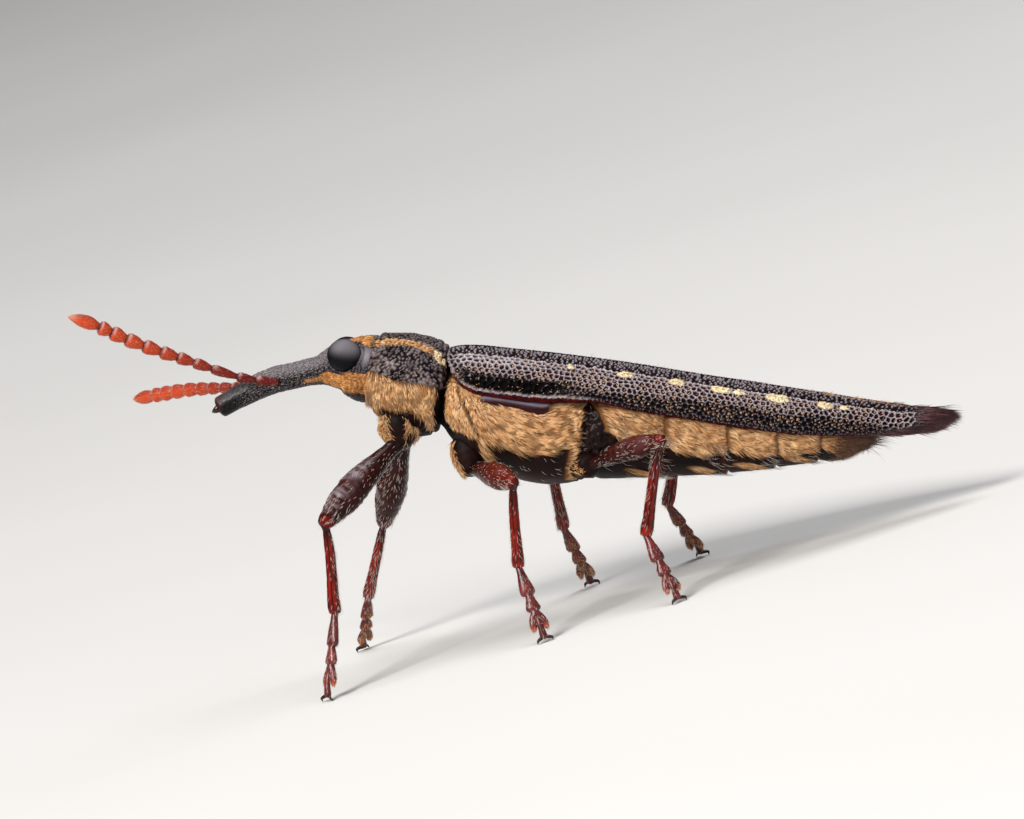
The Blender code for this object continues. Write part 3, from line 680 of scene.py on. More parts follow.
def trunk_looks():
    look = Look("case_horn")
    tone = look.mix(look.patches(0.4, 0.3, 0.75), (0.135, 0.113, 0.128), (0.285, 0.243, 0.262))
    tone = look.lay(tone, pit=(0.006, 0.002, 0.003), floor=(0.060, 0.006, 0.006), dark=(0.004, 0.003, 0.004))
    bloody = look.mix(look.patches(0.22, 0.35, 0.65), (0.022, 0.003, 0.005), (0.115, 0.009, 0.013))
    # Pale is partly the horn's own lilac grey and partly a painted highlight on ridges, knots and bumps.
    tone = look.lay(tone, rim=bloody, pale=(0.41, 0.350, 0.372), cream=(0.62, 0.47, 0.25))
    rough = look.span(look.fact("pit"), 0.0, 1.0, 0.27, 0.55)
    shine = look.span(look.fact("pit"), 0.0, 0.8, 0.45, 0.03)
    look.set(tone, rough, shine, look.noise(0.03), 0.003)

    look = Look("pimpled_horn")
    tone = look.mix(look.fact("grain"), (0.003, 0.002, 0.003), (0.160, 0.120, 0.122))
    tone = look.mix(look.patches(0.5, 0.50, 0.80), tone, (0.016, 0.005, 0.006))
    tone = look.lay(tone, tan=(0.22, 0.092, 0.028))
    rough = look.span(look.fact("grain"), 0, 1, 0.60, 0.36)
    shine = look.span(look.fact("grain"), 0, 1, 0.03, 0.36)
    look.set(tone, rough, shine, look.noise(0.03, 2.0), 0.003)

    look = Look("polished_horn")
    tone = look.mix(look.patches(0.9, 0.35, 0.7), (0.003, 0.002, 0.002), (0.016, 0.004, 0.003))
    tone = look.lay(tone, tan=(0.20, 0.082, 0.024), rim=(0.060, 0.010, 0.005), plum=(0.026, 0.003, 0.005))
    # A pale lilac painted highlight, laid on the upper half of the thorax's bar.
    tone = look.lay(tone, slate=(0.230, 0.215, 0.265))
    rough = look.span(look.fact("dull"), 0, 1, 0.28, 0.70)
    shine = look.span(look.fact("dull"), 0, 1, 0.15, 0.02)
    look.set(tone, rough, shine, look.noise(0.06), 0.006)


def head_looks():
    look = Look("face_horn")
    tone = look.mix(look.fact("grain"), (0.005, 0.003, 0.005), (0.085, 0.072, 0.078))
    tone = look.lay(tone, gloss=(0.004, 0.003, 0.004))
    # A painted highlight: a pale sheen over the upward faces of the snout, stronger on its grains.
    painted_light = look.times(look.fact("top"), look.span(look.fact("grain"), 0, 1, 0.45, 0.85))
    tone = look.mix(painted_light, tone, (0.190, 0.168, 0.180))
    # A painted highlight pales the patch behind each eye; brown is the mouth's own colour.
    tone = look.lay(tone, slate=(0.200, 0.182, 0.200), brown=(0.05, 0.014, 0.009))
    tone = look.lay(tone, chin=(0.012, 0.005, 0.004), tan=(0.20, 0.080, 0.022))
    rough = look.span(look.fact("gloss"), 0, 1, 0.45, 0.38)
    shine = look.span(look.fact("grain"), 0, 1, 0.10, 0.28)
    look.set(tone, rough, shine, look.noise(0.03, 2.0), 0.003)

    look = Look("eye_lens")
    # A painted reflection: the lens is paler where the fact says, on its upper half.
    tone = look.mix(look.fact("sky"), (0.002, 0.002, 0.003), (0.120, 0.112, 0.124))
    look.set(tone, 0.48, 0.10, look.cells(0.024), 0.003)

    look = Look("feeler_horn")
    tone = look.mix(look.fact("reach"), (0.110, 0.006, 0.004), (0.50, 0.050, 0.008))
    # Over is painted shade on the feeler's upper side; waist is the dark narrow root of each joint.
    tone = look.lay(tone, over=(0.085, 0.008, 0.010), waist=(0.030, 0.003, 0.004))
    # Ring is a painted lilac highlight on each joint's upper end; tip is the feeler's own paler end.
    tone = look.lay(tone, ring=(0.44, 0.27, 0.26), tip=(0.48, 0.20, 0.12))
    look.set(tone, 0.40, 0.20, look.noise(0.05), 0.004)


def leg_looks():
    look = Look("thigh_horn")
    tone = look.mix(look.patches(0.35, 0.35, 0.7), (0.006, 0.002, 0.002), (0.030, 0.004, 0.003))
    tone = look.lay(tone, red=(0.120, 0.010, 0.003), knee=(0.13, 0.005, 0.003))
    # Dark is the thigh's own darker base; painted glint is a pale lilac painted highlight on the wrinkles.
    tone = look.lay(tone, dark=(0.005, 0.002, 0.003), crest=(0.300, 0.235, 0.255))
    look.set(tone, 0.20, 0.12, look.noise(0.05), 0.005)

    look = Look("shin_horn")
    tone = look.mix(look.patches(0.30, 0.35, 0.7), (0.070, 0.004, 0.002), (0.245, 0.009, 0.003))
    tone = look.lay(tone, groove=(0.010, 0.001, 0.001))
    look.set(tone, 0.24, 0.24, look.noise(0.05), 0.006)

    look = Look("foot_horn")
    tone = look.mix(look.patches(0.25, 0.35, 0.7), (0.055, 0.006, 0.006), (0.17, 0.026, 0.023))
    tone = look.lay(tone, dark=(0.010, 0.002, 0.003), edge=(0.46, 0.070, 0.018))
    look.set(tone, 0.28, 0.42, look.noise(0.03), 0.005)

    look = Look("claw_horn")
    tone = look.mix(look.patches(0.15, 0.35, 0.7), (0.008, 0.003, 0.003), (0.040, 0.009, 0.006))
    look.set(tone, 0.25, 0.35, look.noise(0.03, 2.0), 0.002)


def prothorax():
    skin = trunk_skin(PROTHORAX, 114, 340, 0.10, 0.10)
    x, y, z = np.moveaxis(skin.base, -1, 0)
    side = np.sign(y)
    wobble = skin.noise(0.22, 3) * 0.07
    low = np.interp(x, [-1.94, -1.49, -1.13, -0.78, -0.5, -0.03], [-0.92, -1.03, -1.04, -1.09, -1.09, -1.15])
    black_side = smooth(-0.05, 0.05, z - low - wobble)
    # The tan line high on each side, which bends down behind.
    line = np.interp(x, [-2.0, -1.87, -1.35, -1.0, -0.68, -0.46], [0.50, 0.58, 0.76, 0.80, 0.90, 0.92])
    stripe = fade(0.065, 0.115, np.abs(np.abs(y) - line) + wobble * 0.6) * (z > -0.6)
    stripe *= between(x, -2.02, -1.92, -0.52, -0.42)
    # A slanting cream spot ends it.
    spot_x = x + 0.24
    spot = fade(0.8, 1.15, np.hypot(spot_x / 0.17, (z + 0.30 + 0.85 * spot_x) / 0.11) + wobble * 2)
    # Fur covers the flank between the black side and the bare hollow over the leg.
    bare = np.interp(
        x,
        [-2.0, -1.85, -1.55, -1.12, -0.81, -0.48, -0.25, -0.10],
        [-2.2, -1.95, -1.64, -1.70, -1.69, -1.88, -2.08, -2.33],
    )
    ragged = skin.noise(0.28, 10)
    flank = (1 - black_side) * smooth(-0.05, 0.05, z - bare - wobble - 0.16 * ragged) * fade(-0.19, -0.13, x)
    along, around = spread(skin)
    crumple = 0.35 * skin.noise(0.3, 4)
    near = pit_lattice(along / 0.096 + crumple, around / 0.090 + crumple, 0.82, 0.096, 0.090, 5)
    grain = fade(0.010, 0.054, near[0] * (1 + 0.5 * skin.noise(0.2, 7)))
    relief = 0.034 * grain * black_side + 0.030 * skin.noise(0.25, 6)
    # A collar in front and a flanged rear edge.
    relief -= 0.05 * ridge(x + 1.90, 0.06) + 0.045 * ridge(x + 0.16, 0.04)
    tan = np.clip(stripe + spot + flank, 0, 1)
    skin.push(relief - 0.012 * tan)
    grain *= black_side * (0.75 + 0.45 * skin.noise(0.3, 9))
    skin.piece("prothorax_skin", "pimpled_horn", "prothorax", "prothorax", grain=grain, tan=tan)

    coat = Coat("prothorax_coat", "tan_hair", 11, strips=3)
    sweep = np.interp(x, [-1.9, -1.4, -1.1, -0.8, -0.3], [1.15, 0.70, 0.95, 0.90, 1.60])
    turn = (side * (sweep + 0.55 * skin.noise(0.3, 8)), 0.10)
    weight = flank * (np.abs(y) > 0.3)
    lie = {"fit": 1 + 0.45 * ragged, "lock": 0.075}
    coat.sow(skin, 9000, weight, turn, (0.20, 0.36), 0.019, 0.24, 0.16, (0, 0.08), **lie)
    coat.sow(skin, 2600, stripe, (0.1 * side, 0.25), (0.11, 0.20), 0.019, 0.20, strip=1, lock=0.07)
    coat.finish()
    cream = Coat("prothorax_spots", "cream_scale", 12)
    cream.sow(skin, 760, spot, (0, 0.4), 0.11, 0.026, 0.2, waist=0.5)
    cream.sow(skin, 420, black_side * (1 - tan), (0, 0.5), 0.06, 0.008, 0.35, waist=0.5)
    cream.finish()


def thorax():
    skin = trunk_skin(THORAX, 116, 210, 0.05, 0.05)
    x, y, z = np.moveaxis(skin.base, -1, 0)
    side = np.sign(y)
    rough = skin.noise(0.35, 21)
    low = np.interp(
        x,
        [0.0, 0.14, 0.5, 0.93, 1.1, 1.26, 1.91, 2.69, 3.16, 3.52, 3.72],
        [-1.55, -1.79, -2.05, -2.20, -2.10, -2.23, -2.40, -2.50, -2.34, -2.20, -1.7],
    )
    low = low + 0.05 * rough + 0.05 * skin.noise(0.12, 22)
    band = smooth(-0.04, 0.04, z - low) * between(x, 0.06, 0.16, 3.62, 3.72)
    # A bare bar lies below the wing case, raised, with a painted highlight along its upper half.
    bar_high = np.interp(x, [1.1, 1.7, 2.7], [-1.15, -1.14, -1.12])
    bar_low = np.interp(x, [1.1, 1.7, 2.5, 2.7, 2.85], [-1.34, -1.35, -1.47, -1.46, -1.36])
    bar = smooth(-0.02, 0.02, bar_high - z) * smooth(-0.02, 0.02, z - bar_low)
    bar *= between(x, 1.02, 1.12, 2.82, 2.92)
    bar_rise = bar * fade(0.3, 1.0, np.abs((z - (bar_high + bar_low) / 2) / 0.14))
    bar_painted_highlight = bar * smooth(-0.05, 0.05, z - (0.60 * bar_high + 0.40 * bar_low))
    over_bar = between(x, 0.95, 1.05, 2.75, 2.85) * (z > bar_high - 0.03)
    band = band * fade(0.1, 0.6, bar) * (1 - over_bar)
    # The seam that climbs forwards across the side, and thin hair lines beside the leg sockets.
    climb = np.interp(z, [-2.13, -1.75, -1.06], [1.05, 0.84, 0.42])
    seam = ridge(x - climb, 0.034) * (z < -0.9) * (z > -2.3)
    lobe = smooth(0.0, 0.08, climb - x)
    lines = ridge(x - 3.56 - 0.10 * (z + 2.7), 0.05) * (z < -2.1) * (z > -3.15)
    lines += ridge(x - 1.12 + 0.40 * (z + 2.3), 0.06) * (z < -2.1) * (z > -2.95)
    tan = np.clip(band + lines, 0, 1)
    gap = smooth(3.72, 3.78, x)
    relief = -0.06 * seam + 0.045 * lobe * (z < -0.9) * smooth(0.0, 0.3, x) + 0.05 * bar_rise
    skin.push(relief + 0.012 * rough - 0.03 * gap + 0.055 * gap * skin.noise(0.10, 24))
    skin.piece(
        "thorax_skin", "polished_horn", "thorax", "thorax",
        tan=tan * (1 - seam),
        rim=0.25 * smooth(-2.9, -3.3, z),
        plum=0.9 * bar,
        slate=0.9 * bar_painted_highlight,
        dull=np.clip(tan + fade(0.2, 0.6, x) + gap * 0.3 + 0.5, 0, 1) * (1 - bar),
    )

    # Steep on the front plate, then flowing back in a shallow sag that climbs again behind.
    flow = np.interp(
        x, [0.0, 0.6, 0.95, 1.3, 2.0, 2.8, 3.3, 3.7], [1.35, 1.15, 0.75, 0.40, 0.16, -0.10, -0.45, -0.75]
    )
    flow += 0.50 * (x > 3.2) * (z < -1.8) + 0.16 * rough + 0.08 * np.sin(7 * x + 5 * z)
    # Hair is shorter in front, beside the seam and below the bar.
    fit = np.interp(x, [0, 0.9, 1.3, 3.0, 3.7], [0.45, 0.55, 1.0, 0.9, 0.4])
    fit *= (1 - 0.65 * (x < 1.15) * (x > 0.7) * (z > -1.5)) * (1 - 0.35 * lobe)
    fit *= 1 - 0.5 * (x < 2.7) * (x > 1.0) * (z > -1.55)
    for name, hand in HANDS.items():
        coat = Coat("thorax_coat_" + name, "tan_hair", 21 + hand, strips=2)
        weight = tan * (side == hand) * (z < -0.8) * (1 - seam)
        lie = {"side": hand, "fit": fit, "lock": 0.075}
        coat.sow(skin, 10500, weight, (flow, 0.06), (0.42, 0.66), 0.019, 0.20, 0.17, (0, 0.08), **lie)
        coat.finish()
    coat = Coat("thorax_belly_hair", "white_hair", 25)
    fringe = 7.0 * ridge(z + 2.92 + 0.04 * rough, 0.05) * (x > 1.5) * (x < 3.5)
    weight = (z < -2.6) * (x > 1.0) * (x < 3.6) + fringe + 9.0 * gap * (z > -2.4)
    coat.sow(skin, 460, weight, (0.6, 0.35), (0.14, 0.26), 0.009, 0.45, 0.35, (0.1, 0.3), side=side)
    coat.finish()


def abdomen():
    skin = trunk_skin(ABDOMEN, 200, 190, 0.04, 0.12)
    x, y, z = np.moveaxis(skin.base, -1, 0)
    side = np.sign(y)
    rough = skin.noise(0.35, 31)
    low = np.interp(
        x,
        [3.9, 4.12, 4.46, 4.77, 5.2, 6.21, 6.66, 6.93, 7.25, 7.53]
        + [7.96, 8.4, 8.9, 9.16, 9.6, 10.03, 10.34, 10.8, 11.1],
        [-0.9, -1.11, -1.65, -1.80, -1.93, -1.89, -2.03, -1.95, -1.75, -1.90]
        + [-1.74, -1.80, -1.72, -1.80, -1.62, -1.42, -1.56, -1.38, -1.3],
    )
    low = low + 0.04 * rough + 0.05 * skin.noise(0.14, 32)
    band = smooth(-0.03, 0.03, z - low)
    # Each plate stands proud of the one in front and ends in a crease.
    lean = x + 0.18 * (z + 1.6)
    share = np.zeros_like(x)
    for front, back in zip(PLATES, PLATES[1:]):
        share = np.where((lean >= front) & (lean < back), (lean - front) / (back - front), share)
    plated = (lean >= PLATES[0]) & (lean < PLATES[-1])
    step = plated * (-0.035 + 0.07 * smooth(0.0, 0.10, share) * (0.6 + 0.4 * share))
    crease = np.clip(sum(ridge(lean - edge, 0.024) for edge in PLATES[1:-1]), 0, 1)
    # Low tufts on the plates: x, level, half length and half height.
    tufts = [
        (5.30, -2.64, 0.28, 0.07), (6.98, -2.38, 0.30, 0.09),
        (8.15, -2.16, 0.35, 0.08), (9.45, -1.84, 0.25, 0.06),
    ]
    tuft = np.zeros_like(x)
    for at, level, long, high in tufts:
        reach = np.hypot((x - at) / long, (z - level) / high) + 0.4 * rough
        tuft = np.maximum(tuft, fade(0.8, 1.1, reach))
    tan = np.clip(band + tuft, 0, 1)
    last = smooth(10.45, 10.8, x)
    furry = tan * (1 - crease) * (1 - last)
    bare = fade(4.5, 4.8, x) * (1 - tan) * (z > -2.4)
    skin.push(step - 0.05 * crease + 0.012 * rough + 0.060 * bare * skin.noise(0.10, 34))
    rim = 0.7 * np.clip(smooth(0.90, 0.97, share) * (x < 10.3) + 0.3 * last, 0, 1)
    dull = np.clip(furry + last + 0.5 - 0.3 * bare, 0, 1)
    skin.piece("abdomen_skin", "polished_horn", "abdomen", "abdomen", tan=furry, rim=rim, dull=dull)

    flow = 0.34 + 0.20 * rough + 0.10 * np.sin(6 * x + 5 * z) + 0.15 * (z < -1.7)
    fit = np.interp(x, [4, 11], [1.0, 0.7])
    # Strands near a plate's rear edge are cut short there by the seam.
    most = 0.10 + (1 - share) * 1.4
    for name, hand in HANDS.items():
        coat = Coat("abdomen_coat_" + name, "tan_hair", 31 + hand, strips=2)
        here = (side == hand) & (z < -0.75) & (x > 4.02)
        weight = tan * here * (1 - 0.95 * crease) * (1 - last)
        lie = {"side": hand, "fit": fit, "most": most, "reach_first": True, "lock": 0.07}
        coat.sow(skin, 12000, weight, (flow, 0.07), (0.34, 0.56), 0.018, 0.20, 0.17, (0, 0.08), **lie)
        coat.finish()
    coat = Coat("abdomen_long_hair", "white_hair", 35)
    weight = (z < low + 0.25) * (0.15 + 1.6 * (share > 0.72) * (share < 0.98)) * (x > 4.2) * (x < 10.9)
    lie = {"side": side, "reach_first": True}
    coat.sow(skin, 460, weight, (0.5, 0.25), (0.22, 0.52), 0.009, 0.5, 0.4, (0.1, 0.15), **lie)
    coat.finish()
    coat = Coat("abdomen_seam_hair", "brush_hair", 37)
    weight = (share > 0.86) * (share < 0.99) * band * (x > 4.6) * (x < 10.6) * (z < -0.9)
    coat.sow(skin, 340, weight, (0.75, 0.40), (0.12, 0.26), 0.012, 0.30, 0.2, (0, 0.2), side=side)
    coat.finish()
    coat = Coat("tail_plate_hair", "rust_hair", 36)
    weight = smooth(10.10, 10.6, x) * (z < -0.8)
    lie = {"side": side, "lock": 0.13}
    coat.sow(skin, 2600, weight, (0.20, 0.35), (0.26, 0.55), 0.013, 0.40, 0.16, (0, 0.20), **lie)
    # Longer hair trails back under the wing cases.
    weight = (x > 10.5) * (x < 11.1) * (z > -1.35)
    coat.sow(skin, 850, weight, (0, 0.14), (0.5, 1.25), 0.012, 0.26, 0.05, (0, 0.10), lock=0.14)
    coat.finish()


def case_rings(rows):
    """Rings of the right wing case, from the seam over the back and round the margin, then inside.

    With them come how far each point lies below the keel and above the margin, along the skin.
    """
    angle = np.linspace(0, math.pi, 900)
    across = np.arange(0, ROWS_OF_PITS * POINTS_PER_ROW + 1) / POINTS_PER_ROW
    start = 0.02
    rings, down = [], []
    table = even_rows(WING_CASES, rows)
    for row, curve in zip(table, section(table, angle)):
        arc = reach_along(curve)
        top, wide, bottom = row[2:5]
        keel = np.interp(-(top - min(0.20, 0.5 * (top - wide))), -curve[:, 2], arc)
        margin = np.interp(-(bottom + 0.10 * (wide - bottom)), -curve[:, 2], arc)
        lip = margin + 0.35 * min(1.0, row[1])
        want = np.interp(across, [0, KEEL_ROW, ROWS_OF_PITS], [start, keel, margin])
        want = np.concatenate([want, np.linspace(margin, lip, 9)[1:]])
        outer = look_up(want, arc, curve)
        middle = np.array((row[0], 0.0, wide + 0.1))
        inner = middle + (outer[::-1][4::10] - middle) * (1, 0.90, 0.80)
        inner[:, 1] = np.maximum(inner[:, 1], start)
        rings.append(np.concatenate([outer, inner]))
        below = np.concatenate([want - keel, np.full(len(inner), 9.0)])
        above = np.concatenate([margin - want, np.full(len(inner), -9.0)])
        down.append(np.stack([below, above], -1))
    return np.array(rings), np.array(down), len(across)


def wing_case(name, hand):
    rings, down, outer = case_rings(520)
    outside = np.zeros(rings.shape[:2])
    outside[:, : outer + 4] = 1.0
    closed = closed_ends(rings, 0.12, 0.05)
    grids = (down[..., 0], down[..., 1], outside)
    below, above, outside = (np.pad(grid, ((CAP_ROWS, CAP_ROWS), (0, 0)), "edge") for grid in grids)
    outside[:CAP_ROWS] *= 0.4
    outside[-CAP_ROWS:] *= 0.4
    if hand < 0:
        grids = (closed * (1, -1, 1), below, above, outside)
        closed, below, above, outside = (grid[:, ::-1] for grid in grids)
    skin = Skin(closed)
    x, y, z = np.moveaxis(skin.base, -1, 0)
    warp = skin.noise(0.9, 41)
    tall = np.where(below > 0, LOW_ROW, HIGH_ROW)
    row = below / tall + 0.16 * skin.noise(0.5, 42)
    first, second, third = pit_lattice(x / PIT + 0.30 * warp, row, 0.56, PIT, tall, 43 + hand)
    shoulder = between(x, 0.15, 0.5, 1.6, 3.0) * between(below, -0.25, 0.0, 0.28, 0.50)
    edge = second - first - 0.022 * shoulder - 0.010 * smooth(11.2, 12.4, x)
    rim_width = np.interp(x, [0, 3.2, 4.2, 5.5, 8, 10, 11], [0.32, 0.33, 0.22, 0.14, 0.10, 0.05, 0.02])
    over_rim = above - rim_width
    rim = smooth(-0.015, 0.015, -over_rim) * smooth(0.15, 0.4, x)
    # Low on the front third the pits run together into dark hollows over a toothed ridge.
    hollow_zone = between(over_rim, 0.04, 0.10, 0.40, 0.52) * between(x, 0.25, 0.6, 2.9, 3.9)
    near = pit_lattice(x / 0.26 + 0.2 * warp, above / 0.125, 0.8, 0.26, 0.125, 46 + hand)
    hollow = smooth(0.005, 0.05, near[1] - near[0])
    few = fade(0.015, 0.055, near[2] - near[0]) * smooth(0.0, 0.4, skin.noise(0.16, 44))
    jag = noise(np.stack([x, 0 * x, 0 * x], -1), 0.055, 52)
    toothed = ridge(over_rim - 0.035 - 0.022 * jag, 0.027) * between(x, 0.3, 0.6, 3.6, 4.4)
    toothed *= 0.78 + 0.30 * jag
    pit = smooth(0.006, 0.048, edge) * (1 - hollow_zone) + hollow * hollow_zone
    # High on the back the net breaks up into rows of low bumps.
    back = smooth(0.02, 0.16, -below) * (1 - 0.8 * shoulder)
    bump = fade(0.015, 0.048, first * (1 + 0.35 * skin.noise(0.22, 49)))
    pit = (pit * (1 - back) + (1 - bump) * back) * outside * (1 - rim) * (1 - toothed)
    net = fade(0.008, 0.036, edge)
    knots = fade(0.008, 0.036, third - first) * outside * (1 - rim)
    keel = ridge(below, 0.032) * between(x, 1.8, 3.4, 11.6, 12.4)
    line = ridge(below - 0.23, 0.028) * between(x, 3.2, 4.6, 10.5, 11.5)
    interval = between(below, 0.02, 0.06, 0.17, 0.22) * smooth(3.2, 4.4, x)
    spot = np.zeros_like(x)
    ragged = skin.noise(0.10, 45) * 0.30
    for at, long, high in SPOTS:
        spot = np.maximum(spot, fade(0.80, 1.05, np.hypot((x - at) / long, (below - 0.085) / high) + ragged))
    spot *= outside
    # Low on the side the net sinks away, and only its knots stay pale.
    low_edge = np.interp(x, [4.0, 7.0, 10.0, 12.5], [0.56, 0.46, 0.36, 0.26]) + 0.05 * warp
    low = smooth(0.0, 0.22, below - low_edge) * (1 - hollow_zone)
    relief = -0.056 * pit * (1 - 0.45 * interval) * (1 - 0.7 * spot) - 0.045 * hollow * hollow_zone
    relief += 0.026 * knots + 0.030 * keel + 0.016 * line + 0.042 * toothed + 0.010 * rim
    relief += 0.03 * shoulder + 0.012 * ridge(y, 0.07) * (z > -0.3) + 0.015 * warp
    skin.push(relief * outside)

    pit = np.maximum(np.clip(1.35 * pit, 0, 1), 0.94 * low * (1 - knots) * (1 - 0.12 * net))
    pit = np.maximum(pit, 0.95 * hollow_zone * (1 - few))
    pit = np.clip(pit + 0.55 * interval * (1 - 0.6 * net), 0, 1) * (1 - 0.8 * toothed)
    inner = above < -1.0
    granule = fade(0.1, 0.45, grains(skin.base, 0.085, 47)) * low
    dark = 0.45 * low * (1 - granule) * (1 - knots) + 0.94 * hollow_zone * (1 - toothed) * (1 - few)
    # Pale is partly the horn's own grey and partly a painted highlight: on the knots and ridges of the net,
    # less at the front, on the shoulder, keel and toothed ridge, and on the bumps of the back.
    net_pale_and_highlight = np.interp(x, [2.0, 4.2], [0.26, 0.56])
    pale = ((0.6 - 0.3 * low) * knots + net_pale_and_highlight * net * (1 - low)) * (1 - back) * (1 - hollow_zone)
    pale += (0.20 * shoulder + 0.45 * keel) * (1 - pit) + 0.7 * toothed
    pale += 0.34 * bump**2 * back + 0.4 * few * hollow_zone
    skin.piece(
        f"elytron_{name}_skin", "case_horn", "elytron", "elytron_" + name,
        pit=pit,
        floor=smooth(0.076, 0.112, edge) * (1 - hollow_zone) * (below > 0) * (1 - low) * 0.8,
        dark=np.clip(dark + 0.5 * smooth(12.3, 13.0, x) + inner, 0, 1),
        rim=rim * (1 - inner),
        pale=np.clip(pale, 0, 1) * outside * (1 - rim * (1 - toothed)),
        cream=spot * 0.9,
    )

    coat = Coat(f"elytron_{name}_scales", "cream_scale", 50 + hand)
    flat = {"waist": 0.55, "thick": 0.3}
    coat.sow(skin, 3400, spot, (0, 0.45), (0.07, 0.12), 0.028, 0.22, **flat)
    coat.finish()
    coat = Coat(f"elytron_{name}_flecks", "peg_hair", 53 + hand)
    # A pale peg stands in the middle of most pits.
    pegs = ridge(first, 0.017) * (1 - spot) * outside * (1 - rim) * (1 - back) * (1 - 0.8 * hollow_zone)
    pegs = pegs * (0.35 + 0.65 * smooth(0.3, 0.6, below)) * smooth(-0.3, 0.1, skin.noise(0.2, 50))
    coat.sow(skin, 3600, pegs, (0, 0.4), (0.040, 0.060), 0.017, 0.8, waist=0.55, thick=0.6)
    # Short hair lies in patches along the rear of the seam, and single hairs stand on the back.
    patches = ridge(y, 0.16) * between(x, 8.5, 10.5, 12.2, 12.6) * outside
    patches *= (skin.noise(0.35, 48) > 0.1) & (z > -0.4)
    coat.sow(skin, 420, patches, (0, 0.25), (0.10, 0.16), 0.020, 0.18, 0.08, **flat)
    upright = (below < 0.05) & (x > 1.0) & (x < 12) & (outside > 0.9)
    coat.sow(skin, 46, upright, (0, 0.4), (0.16, 0.26), 0.012, 1.15, 0.15, waist=0.5)
    coat.finish()

    # The brush: strands from the last millimetre run together towards a ragged, slanting end.
    coat = Coat(f"elytron_{name}_brush", "brush_hair", 55 + hand)
    to_tip = unit((np.array(BRUSH_TIP) - skin.base) * (1, 0.55, 0.26))
    share = smooth(11.4, 12.1, x)[..., None]
    skin.along = unit(skin.along * (1 - share) + to_tip * share)
    body = np.ones_like(x)
    body[-CAP_ROWS - 1 :] = 0.0
    fringe = 0.5 * smooth(11.2, 12.4, x) * ((above < 0.28) | (np.abs(y) < 0.15))
    weight = smooth(12.2, 12.9, x) ** 2 + fringe + 0.10 * smooth(9.8, 11.5, x) * (above < 0.15)
    weight *= outside * body
    lie = {"fit": np.interp(x, [9.8, 12.5], [0.7, 1.2]), "reach_first": True, "lock": 0.12}
    coat.sow(skin, 2400, weight, (0, 0.12), (0.20, 0.36), 0.013, 0.16, 0.08, (0, 0.08), **lie)
    end = np.interp(z, [-0.7, -0.45, -0.15], [13.20, 13.54, 13.65])
    ragged = noise(skin.base * (0.1, 1.0, 1.0), 0.09, 51)
    lie = {"fit": np.clip(end - x, 0.15, None) * (0.94 + 0.45 * ragged), "reach_first": True, "lock": 0.075}
    weight = smooth(12.3, 12.9, x) * body
    coat.sow(skin, 4600, weight, (0, 0.06), (0.62, 1.0), 0.015, 0.04, 0.0, (0, 0.06), **lie)
    coat.finish()


